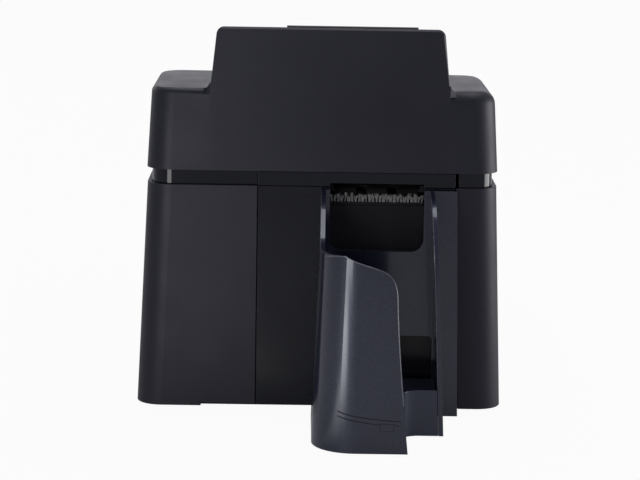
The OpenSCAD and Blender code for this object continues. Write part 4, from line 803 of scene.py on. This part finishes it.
@dataclass
class Hopper(Assembly):
    """Output hopper and its floor."""

    rounding: float = 0.5
    left: float = -5.0
    front: float = FRONT - 87.0
    lean: tuple[float, float] = (4.3, 2.5)
    height: float = 149.0
    corner: float = 15.0
    soft_corner: float = 26.0
    front_width: float = 58.4
    right: float = 74.4
    right_lean: float = 7.2
    front_top: float = 0.81
    fall: tuple[float, float] = (22, 60)
    # Radius of the tubes that paint the highlights on the walls' upper edges.
    rim_radius: float = 0.3

    def build(self) -> None:
        """Dresses the hopper and its floor, their upright front corner drawn out to a softer one."""
        strips = np.linspace(self.corner, self.soft_corner, 6)
        ways = ((1, 0, 0), (0, 1, 0))
        cuts = [((self.left + along, self.front + along, 0), way) for along in strips for way in ways]
        for node, finish in (("output_hopper", Finish.HOPPER), ("hopper_floor", Finish.HOPPER_FLOOR)):
            skin = self.skin(node, finish, self.rounding, 32)
            self.reshape(skin, cuts, lambda points: self.softened(self.lowered(points)), merge=True)
        self.piece("hopper_marks", self.marks(), Finish.INNER_BLACK, "output_hopper")
        # Light tubes along the walls' upper edges: painted highlights where those edges catch the light.
        self.piece("hopper_painted_highlights", self.rims(), Finish.RIM, "output_hopper")

    def lowered(self, points: Array) -> Array:
        """Lets the left wall's upper edge fall smoothly to the front wall's height, in place of its last step.

        Args:
            points: array of points × 3.

        Returns:
            The points, those above the front wall's height on the left wall moved down.
        """
        above = np.where(points[:, 0] < self.left + self.corner, points[:, 2] - self.front_top * self.height, 0)
        along = np.clip((FRONT - self.fall[0] - points[:, 1]) / (self.fall[1] - self.fall[0]), 0, 1)
        return points - np.outer(np.maximum(above, 0) * along**2 * (3 - 2 * along), (0, 0, 1))

    def softened(self, points: Array) -> Array:
        """Moves points near the corner: from distance d off the soft corner's centre C2, in direction u, to
        d + R2 − B(u). B is how far the first outline lies from C2, R2 / cos on the flat sides and
        u·D + √((u·D)² − D² + R1²) on its arc, with D from C1 to C2.

        Args:
            points: array of points × 3.

        Returns:
            The moved points.
        """
        share = points[:, 2:] / self.height
        centre = np.array([[self.left, self.front]]) + share * np.array([self.lean]) + self.soft_corner
        inward = centre - points[:, :2]
        distance = np.maximum(np.linalg.norm(inward, axis=1), 1e-9)
        cosine, sine = (inward / distance[:, None]).T
        step = self.soft_corner - self.corner
        arc = step * (cosine + sine)
        arc = arc + np.sqrt(np.maximum(arc**2 - 2 * step**2 + self.corner**2, 0))
        side = self.soft_corner / np.maximum(np.maximum(cosine, sine), 1e-9)
        on_side = np.minimum(cosine, sine) * self.soft_corner <= np.maximum(cosine, sine) * step
        near = (inward > 0).all(1) & (distance > self.soft_corner - 8)
        wanted = np.where(near, distance + self.soft_corner - np.where(on_side, side, arc), distance)
        return np.column_stack([centre - inward * (wanted / distance)[:, None], points[:, 2]])

    def rims(self) -> Surface:
        """Painted highlights: thin light tubes along the upper edges of the left and front wall and of the right wall,
        where those edges catch the light.

        Returns:
            Both tubes.
        """
        high = self.height
        side = bezier([(0, 1.003), (0.287, 0.973), (0.69, 0.819), (0.975, self.front_top)])
        side *= (self.front - FRONT, high)
        left = self.left + self.lean[0] * side[:, 1] / high
        side = self.lowered(np.column_stack([left, FRONT + side[:, 0], side[:, 1]])[2:] + (0.1, 0, -0.1))
        edge = np.concatenate([bezier(curve, 12)[:-1] for curve in (
            ((0.05, 1), (0.15, 1), (0.22, 1), (0.3, 1)),
            ((0.3, 1), (0.46, 0.965), (0.58, 0.955), (0.71, 0.932)),
            ((0.73, 0.927), (0.82, 0.9), (0.86, 0.86), (0.862, 0.78)),
            ((0.863, 0.76), (0.88, 0.57), (0.92, 0.36), (0.95, 0.22)),
        )]) * (self.front_width, self.front_top * high) + (self.left, 0)
        depth = self.front + self.lean[1] * edge[:, 1] / high
        front = np.column_stack([edge[:, 0], depth, edge[:, 1]]) + (-0.1, 0.1, -0.1)
        right = np.concatenate([
            bezier([(-45, 0.22), (-45, 0.35), (-45, 0.5), (-45, 0.62)], 12)[:-1],
            bezier([(-45, 0.62), (-45, 0.86), (-33.75, 0.97), (-6, 0.995)], 20),
        ]) * (1, high)
        inner = self.right - self.right_lean * right[:, 1] / high
        wall = np.column_stack([inner, FRONT + right[:, 0], right[:, 1]]) - (0, 0.15, 0.1)
        path = self.softened(np.concatenate([side, front]))
        outline = circle(self.rim_radius, 8)
        return Surface.joined([swept(path, outline, (1, 1, 0)), swept(wall, outline, (1, 0, 0))])

    def marks(self) -> Surface:
        """A shallow seam that sags across the foot of the front wall, a thin dark line that sags parallel above it,
        and a catch with a slot between them.

        Returns:
            Thin dark ridges, half sunk into the wall.
        """
        front, line = FRONT - 86.6, circle(0.16, 6, (1, 2.2))
        parts = []
        for curve in (
            ((9, 26.6), (19, 23.6), (30, 22.1), (48.8, 21)), ((9, 23.6), (19, 21), (30, 19.4), (36, 18.9)),
            ((44.6, 18.6), (46, 18.5), (47.4, 18.4), (48.8, 18.3)),
        ):
            parts.append(swept(self.softened(bezier([(x, front, z) for x, z in curve], 16)), line))
        low_left, high_left, low_right, high_right = ((x, front, z) for x in (36, 44.5) for z in (15.2, 19.4))
        for ends in ((high_left, high_right), (low_left, low_right), (low_left, high_left), (low_right, high_right)):
            parts.append(swept(np.linspace(*ends, 3), line, (0, 1, 0)))
        return Surface.joined(parts)


def taut(pulleys: Array, count: int) -> tuple[Array, Array]:
    """Line drawn tight round pulleys: in each direction n, centre + radius·n of the pulley that reaches farthest.

    Args:
        pulleys: one row of centre Y, centre Z and radius per pulley.
        count: points on the line.

    Returns:
        Points at equal distances and the outward directions there.
    """
    normal = circle(1, 1440)[np.arange(1441) % 1440]
    best = (normal @ pulleys[:, :2].T + pulleys[:, 2]).argmax(1)
    points = pulleys[best, :2] + pulleys[best, 2:] * normal
    distance = np.concatenate([[0], np.cumsum(np.linalg.norm(np.diff(points, axis=0), axis=1))])
    places = np.linspace(0, distance[-1], count, endpoint=False)
    line, outward = (np.stack([np.interp(places, distance, k) for k in table.T], -1) for table in (points, normal))
    return line, outward


@dataclass
class Mechanism(Assembly):
    """Side frames, rollers, belts and motors that carry a card through the printer."""

    frame_faces: tuple[float, float] = (-1.5, 70.5)
    rod_places: Rows = (
        (-120.5, 40), (-60.5, 60), (45.5, 60), (157.5, 60), (-40.5, 136), (157.5, 132)
    )
    drive_pulleys: tuple[Point, ...] = ((9.5, 148, 7), (140.5, 148, 7), (74.5, 98, 5))
    exit_pulleys: tuple[Point, ...] = ((-132.5, 140, 7), (9.5, 148, 7))
    screw: Rows = ((3.4, 0), (3.4, 0.35), (3, 0.8), (2.2, 1.08), (1.5, 1.1), (1.2, 0.5), (0.3, 0.45))
    half_belt: float = 2.7
    belt_gap: float = 0.06
    belt_back: float = 1.24
    tooth_pitch: float = 2.5
    pick_middle: Point = (34.5, -72.5, 157)
    pick_size: Point = (6.5, 3.1, 25.4)
    motors: tuple[tuple[Point, float, float], ...] = (
        ((30.8, -72.5, 133.8), 1, 9.2), ((-48.2, 46.5, 157.2), -1, 9.2), ((100.5, 99.5, 168), 1, 9.2),
        ((38.8, 74.5, 98), 1, 18.5),
    )

    def build(self) -> None:
        """Dresses the steel parts and adds belts, pick roller, screws and motor ends."""
        for node in ("frame_left", "frame_right"):
            self.skin(node, Finish.SHEET_STEEL, 0.2)
        self.piece("drive_belt_loop", self.belt(self.drive_pulleys, -5.5), Finish.BELT, "base", ("drive_belt",))
        self.piece("exit_belt_loop", self.belt(self.exit_pulleys, 74.5), Finish.BELT, "base", ("exit_belt",))
        self.piece("pick_roller_ribs", self.ribbed_roller(), Finish.PICK_RUBBER, "pick_roller", ("pick_roller",), 50)
        self.piece("frame_screws", self.screws(), Finish.STEEL)
        caps, terminals = self.motor_ends()
        self.piece("motor_caps", caps, Finish.SOCKET)
        self.piece("motor_terminals", terminals, Finish.PINION)

    def belt(self, pulleys: Sequence[Point], middle: float) -> Surface:
        """Toothed belt: a taut line carries a rectangle whose inner side goes in and out with each tooth.

        Args:
            pulleys: centre Y, centre Z and radius of each pulley.
            middle: X of the belt's middle.

        Returns:
            The closed loop.
        """
        table = np.array(pulleys)
        teeth = round(np.linalg.norm(np.diff(taut(table, 400)[0], axis=0), axis=1).sum() / self.tooth_pitch)
        line, outward = taut(table, teeth * 6)
        inner = self.belt_gap + 0.55 * np.tile([0, 0, 0.25, 1, 1, 0.25], teeth)
        outer = np.full(len(line), self.belt_back)
        corners = [
            np.column_stack([np.full(len(line), middle + side), line + outward * reach[:, None]])
            for side, reach in zip(self.half_belt * np.array([-1, 1, 1, -1]), (inner, inner, outer, outer))
        ]
        return lattice(np.stack(corners, 1), close_rows=True, close_columns=True)

    def ribbed_roller(self) -> Surface:
        """Rubber sleeve with lengthwise ribs: its outer radius is r − 0.15·(1 − cos 32a), its hole is round.

        Returns:
            The sleeve.
        """
        outer, inner, length = self.pick_size
        round_ring = circle(1, 192)
        wave = 1 - np.cos(32 * np.linspace(0, 2 * math.pi, 192, endpoint=False))
        reach = np.array([0, 0.15, 0.5])
        inset = np.array([0.5, 0.12, 0, 0, 0.12, 0.5])[:, None]
        hole = np.full((1, 192), inner)
        radius = np.concatenate([hole, outer - 0.15 * wave - inset, hole])[..., None]
        x = np.concatenate([[0], reach, length - reach[::-1], [length]]) - length / 2
        along = np.broadcast_to(x[:, None, None], radius.shape)
        points = np.concatenate([along, radius * round_ring], -1) + self.pick_middle
        return lattice(points, close_rows=True, close_columns=True)

    def screws(self) -> Surface:
        """Button heads with a recess on both ends of the tie rods."""
        heads = [turned(self.screw, 24).framed((x, 0, 0), facing(way)) for x, way in zip(self.frame_faces, (-1, 1))]
        return Surface.joined([head.repeated([(0, y, z) for y, z in self.rod_places]) for head in heads])

    def motor_ends(self) -> tuple[Surface, Surface]:
        """Stepped caps turned for the motors' free ends, and two flat terminals beside each.

        Returns:
            Caps and terminals.
        """
        caps, terminals = [], []
        for place, way, r in self.motors:
            profile = (
                (r, -0.2), (r, 0.7), (r - 0.5, 1.1), (r * 0.62, 1.2), (r * 0.55, 0.8), (r * 0.4, 0.8),
                (r * 0.35, 1.9), (r * 0.28, 2.2), (0.4, 2.2),
            )
            caps.append(turned(profile, 40).framed(place, facing(way)))
            pair = block((2.6, 0.5, 3.4), 0.12).repeated([(0, 0.78 * r, 0.6), (0, -0.78 * r, 0.6)])
            terminals.append(pair.framed(place, facing(way)))
        return Surface.joined(caps), Surface.joined(terminals)


@dataclass
class Ribbon(Assembly):
    """Ribbon cartridge with its spools and film."""

    spools: tuple[tuple[str, float, float, float], ...] = (
        ("take_up_spool", 46.5, 178, 11.2), ("supply_spool", 132.5, 171, 14)
    )
    half: float = 27.0

    def build(self) -> None:
        """Dresses cartridge and film and adds ridged grips on the crossbars and ribs on the spools' flanges."""
        self.skin("ribbon_cartridge", Finish.CARTRIDGE, 0.4)
        self.dress(Finish.FILM, "ribbon_film")
        places = [(CARD_X + x, y, 185.4) for y in (65, 116) for x in np.linspace(-14, 14, 12)]
        grips = block((1.2, 4, 1), 0.35).repeated(places)
        self.piece("cartridge_grips", grips, Finish.CARTRIDGE, bevel=0.15)
        for name, y, z, radius in self.spools:
            rib = block((radius - 5.6, 1.1, 0.7), 0.2).moved(((radius - 5.6) / 2 + 4.6, 0, 0))
            ribs = [
                rib.framed((CARD_X + side * (self.half + 0.9), y, z), ((0, along, up), (0, -up, along), (side, 0, 0)))
                for side in (-1, 1) for along, up in circle(1, 6)
            ]
            self.piece(name + "_ribs", Surface.joined(ribs), Finish.CARTRIDGE, name, bevel=0.1)


@dataclass
class PrintHead(Assembly):
    """Print head, its bracket and its cam motor."""

    head_low: float = 158.0
    head_high: float = 172.3
    middle_y: float = 84.5

    def build(self) -> None:
        """Dresses head and bracket and adds the heating line, screws and a connector."""
        self.skin("print_head", Finish.HEAD_ALLOY, 0.12)
        self.skin("head_bracket", Finish.SHEET_STEEL, 0.15)
        path = np.linspace((8.5, self.middle_y, self.head_low - 0.05), (60.5, self.middle_y, self.head_low - 0.05), 27)
        self.piece("heating_line", swept(path, circle(0.35, 10, (1.6, 1))), Finish.DISPLAY, "print_head")
        screw = turned(((2.2, -0.2), (2.2, 0.5), (1.7, 1), (1, 1.1), (0.8, 0.6), (0.2, 0.55)), 20)
        places = [(x, y, self.head_high) for x in (14.5, 54.5) for y in (81, 88)]
        self.piece("head_screws", screw.repeated(places), Finish.STEEL, "print_head")
        latch = block((1.6, 5.2, 2.2), 0.25).repeated([(-9.2, 0, 0), (9.2, 0, 0)])
        plug = Surface.joined([block((18, 4.6, 3.4), 0.4), latch])
        plug = plug.moved((CARD_X, self.middle_y, self.head_high - 0.1))
        self.piece("head_connector", plug, Finish.SOCKET, "print_head")


@dataclass
class Electronics(Assembly):
    """Main board with its components, power supply and sockets."""

    board_origin: Point = (-98.4, -18.5, 72)
    board_size: Point = (200, 100, 1.6)
    supply_side: Point = (-40, 156.5, 39.3)
    inlet: tuple[float, float] = (-80, 34)
    can: Rows = ((4, 0), (4, 1.2), (3.7, 1.6), (4, 2), (4, 8.6), (3.8, 9), (3.3, 9.1), (3.1, 8.9), (0.3, 8.9))
    large_chips: Rows = ((-30, 22), (34, 24))
    small_chips: Rows = ((-74, 12), (-56, 30), (8, 14), (62, 12), (80, 30))

    def build(self) -> None:
        """Replaces the board by plate and components, and details supply and sockets."""
        plate = slab(rounded_rectangle(self.board_size[:2], 3), 0, self.board_size[2], 0.15)
        plate = plate.framed(self.board_origin, facing(1))
        self.piece("board_plate", plate, Finish.BOARD, "base", ("main_board",))
        feet = block((12, 2.4, 20.7), 0.2).repeated([(-117, -97.6, 9.3), (43, -97.6, 9.3)])
        feet = Surface(feet.points[:, [1, 0, 2]], feet.faces).moved((0, 18.5, 0))
        self.piece("board_feet", feet, Finish.SHEET_STEEL)
        for name, surface, finish in (
            ("sinks", self.sinks(), Finish.MOTOR), ("chips", self.chips(), Finish.SOCKET),
            ("pins", self.pins(), Finish.PORT), ("capacitors", self.capacitors(), Finish.SUPPLY_RIBBON),
            ("connectors", self.connectors(), Finish.BUSH),
        ):
            surface = surface.moved((0, 0, self.board_size[2])).framed(self.board_origin, facing(1))
            self.piece("board_" + name, surface, finish)
        self.skin("power_supply", Finish.SHEET_STEEL, 0.6)
        # Dark plates that paint the shade seen through the supply's vent slots.
        self.piece("supply_vent_shade", self.vents().framed(self.supply_side, facing(1)), Finish.INNER_BLACK)
        self.piece("supply_terminals", self.terminals(), Finish.BUSH)
        self.skin("power_inlet", Finish.SOCKET, 0.3)
        self.skin("data_ports", Finish.PORT, 0.2)
        self.piece("socket_contacts", self.contacts(), Finish.PINION)
        self.skin("panel_board", Finish.BOARD, 0.1)

    @staticmethod
    def sinks() -> Surface:
        """Three heat sinks: a foot with nine fins each."""
        fins = block((1.2, 28, 8.6), 0.15).repeated([(x, 0, 2) for x in np.linspace(-13.2, 13.2, 9)])
        return Surface.joined([block((28, 28, 2), 0.2), fins]).repeated([(x, -16, 0) for x in (-60, 0, 60)])

    def chips(self) -> Surface:
        """Flat packages in four sizes, set in loose rows.

        Returns:
            All packages.
        """
        groups = (
            ((20, 20, 1.8), self.large_chips),
            ((14, 9, 1.5), self.small_chips),
            ((6, 4.4, 1.2), [(x, y) for y in (-38, 38) for x in np.linspace(-84, 40, 9)]),
            ((2, 1.2, 0.7), [(x, y) for y in (4, 42.5, 45.5) for x in np.linspace(-92, 92, 31)]),
        )
        return Surface.joined([block(size, 0.12).repeated([(*at, 0) for at in places]) for size, places in groups])

    def pins(self) -> Surface:
        """Flat legs along two sides of the packages.

        Returns:
            All legs.
        """
        places = []
        for chips, width, depth in ((self.large_chips, 20, 20), (self.small_chips, 14, 9)):
            along = np.arange(-width / 2 + 1.2, width / 2 - 1, 1.27)
            places += [(x + a, y + s * (depth / 2 + 0.7), 0) for x, y in chips for a in along for s in (-1, 1)]
        return block((0.45, 1.6, 0.35), 0.06).repeated(places)

    def capacitors(self) -> Surface:
        """Upright cans with a groove near the foot and a rounded rim."""
        places = [(72, -34, 0), (82, -34, 0), (92, -34, 0), (-92, 8, 0), (40, 8, 0)]
        return turned(self.can, 28).repeated(places)

    @staticmethod
    def connectors() -> Surface:
        """Plug rows along the upper and the rear edge, with a keying rib each."""
        rib = block((5, 1.2, 5), 0.3).moved((0, 3.2, 0))
        return Surface.joined([block((16, 5.6, 7), 0.4), rib]).repeated([(-88, 34.5, 0), (10, 24.5, 0), (58, 34.5, 0)])

    @staticmethod
    def vents() -> Surface:
        """Painted shade of two rows of upright slots in the supply's side: thin dark plates with round ends in place
        of the open slots.
        """
        places = [(x, y, -0.35) for x in np.linspace(-27, 27, 10) for y in (-13, 13)]
        return slab(rounded_rectangle((2.2, 18), 1.09), 0, 0.5, 0.1).repeated(places)

    @staticmethod
    def terminals() -> Surface:
        """Terminal block on the supply's front: a foot, a step and five round clamps.

        Returns:
            The block.
        """
        step = block((40, 3, 14), 0.4).moved((0, 2.4, 0))
        clamp = turned(((2.6, 0), (2.6, 1), (2.1, 1.5), (1.1, 1.5), (0.9, 1), (0.2, 1)), 20)
        clamps = clamp.repeated([(x, -1.5, 9) for x in np.linspace(-15, 15, 5)])
        return Surface.joined([block((40, 8, 9), 0.4), step, clamps]).moved((-72, 113.6, 44))

    def contacts(self) -> Surface:
        """Metal pins in the power inlet and spring contacts in the two data sockets.

        Returns:
            All of them.
        """
        x, z = self.inlet
        blade, spring = block((2.5, 11.5, 4.5), 0.3), block((0.5, 9, 0.4), 0.08)
        return Surface.joined([
            blade.repeated([(x - 7, 226.4, z - 4.75), (x + 7, 226.4, z - 4.75), (x, 226.4, z + 0.75)]),
            spring.repeated([(x, 227.3, z) for z in (35.45, 32.15) for x in (-47.6, -44.4)]),
            spring.repeated([(x, 230, 36.6) for x in np.linspace(-23.6, -16.4, 8)]),
        ])


@dataclass
class Controls(Assembly):
    """Operator's panel in the right side: frame, display, buttons and indicator lenses."""

    lean: float = math.atan(6.25 / 142.7)
    side: Point = (111.85, 0, 124)
    button_places: tuple[tuple[str, float], ...] = (("button_feed", -56.5), ("button_cancel", -42.5))
    button_radius: float = 5.0

    def build(self) -> None:
        """Dresses panel and display and replaces the buttons by domed ones; x runs up the leaning side, y back."""
        self.skin("control_panel", Finish.SOCKET, 0.35)
        self.skin("display_window", Finish.DISPLAY, 0.3)
        cosine, sine = math.cos(self.lean), math.sin(self.lean)
        axes = ((-sine, 0, cosine), (0, 1, 0), (cosine, 0, sine))
        for name, y in self.button_places:
            cap = turned(self.button_profile()).framed((self.side[0], y, self.side[2]), axes)
            self.piece(name + "_cap", cap, Finish.BUTTON, name, (name,))
        lens = turned(((1.3, -1), (1.3, 0), (1.15, 0.35), (0.8, 0.6), (0.4, 0.72), (0.1, 0.75)), 24)
        lenses = lens.repeated([(9, y, -0.4) for _, y in self.button_places]).framed(self.side, axes)
        self.piece("indicator_lenses", lenses, Finish.LENS)

    def button_profile(self) -> Array:
        """Gives the profile: flange, shaft, rounded rim and a shallow dish that deepens with the square of 1 − r.

        Returns:
            Points × 2, radius and height.
        """
        r = self.button_radius
        rim = np.linspace(0, math.pi / 2, 6)
        edge = np.column_stack([r - 0.5 + 0.5 * np.cos(rim), 0.22 + 0.5 * np.sin(rim)])
        dish = np.linspace(r - 0.9, 0.2, 8)
        bowl = np.column_stack([dish, 0.72 - 0.35 * (1 - (dish / (r - 0.9)) ** 2)])
        return np.concatenate([[(r - 0.2, -5.3), (r + 1, -5.2), (r + 1, -4.9), (r, -4.8)], edge, bowl])


class Rest(Assembly):
    """Nodes that keep their own shape."""

    def build(self) -> None:
        """Dresses every node that is neither hidden nor dressed yet by its material slot in the record."""
        for entry in frame["record"]["subparts"]:
            node = frame["nodes"][entry["node"]]
            if not node.hide_render and "weld" not in node.modifiers:
                self.dress(Finish[entry["material_slot"].upper()], entry["node"])


def main() -> None:
    """Builds the studio and every sub-assembly, in order, and logs each one as it is finished."""
    logging.basicConfig(level=logging.INFO, format="%(message)s")
    bpy.context.scene.view_settings.view_transform = "Standard"
    Studio().build()
    for assembly in (Casing, FrontEnd, Hopper, Mechanism, Ribbon, PrintHead, Electronics, Controls, Rest):
        assembly().build()
        LOG.info("finished %s", assembly.__name__)


if __name__ == "__main__":
    main()
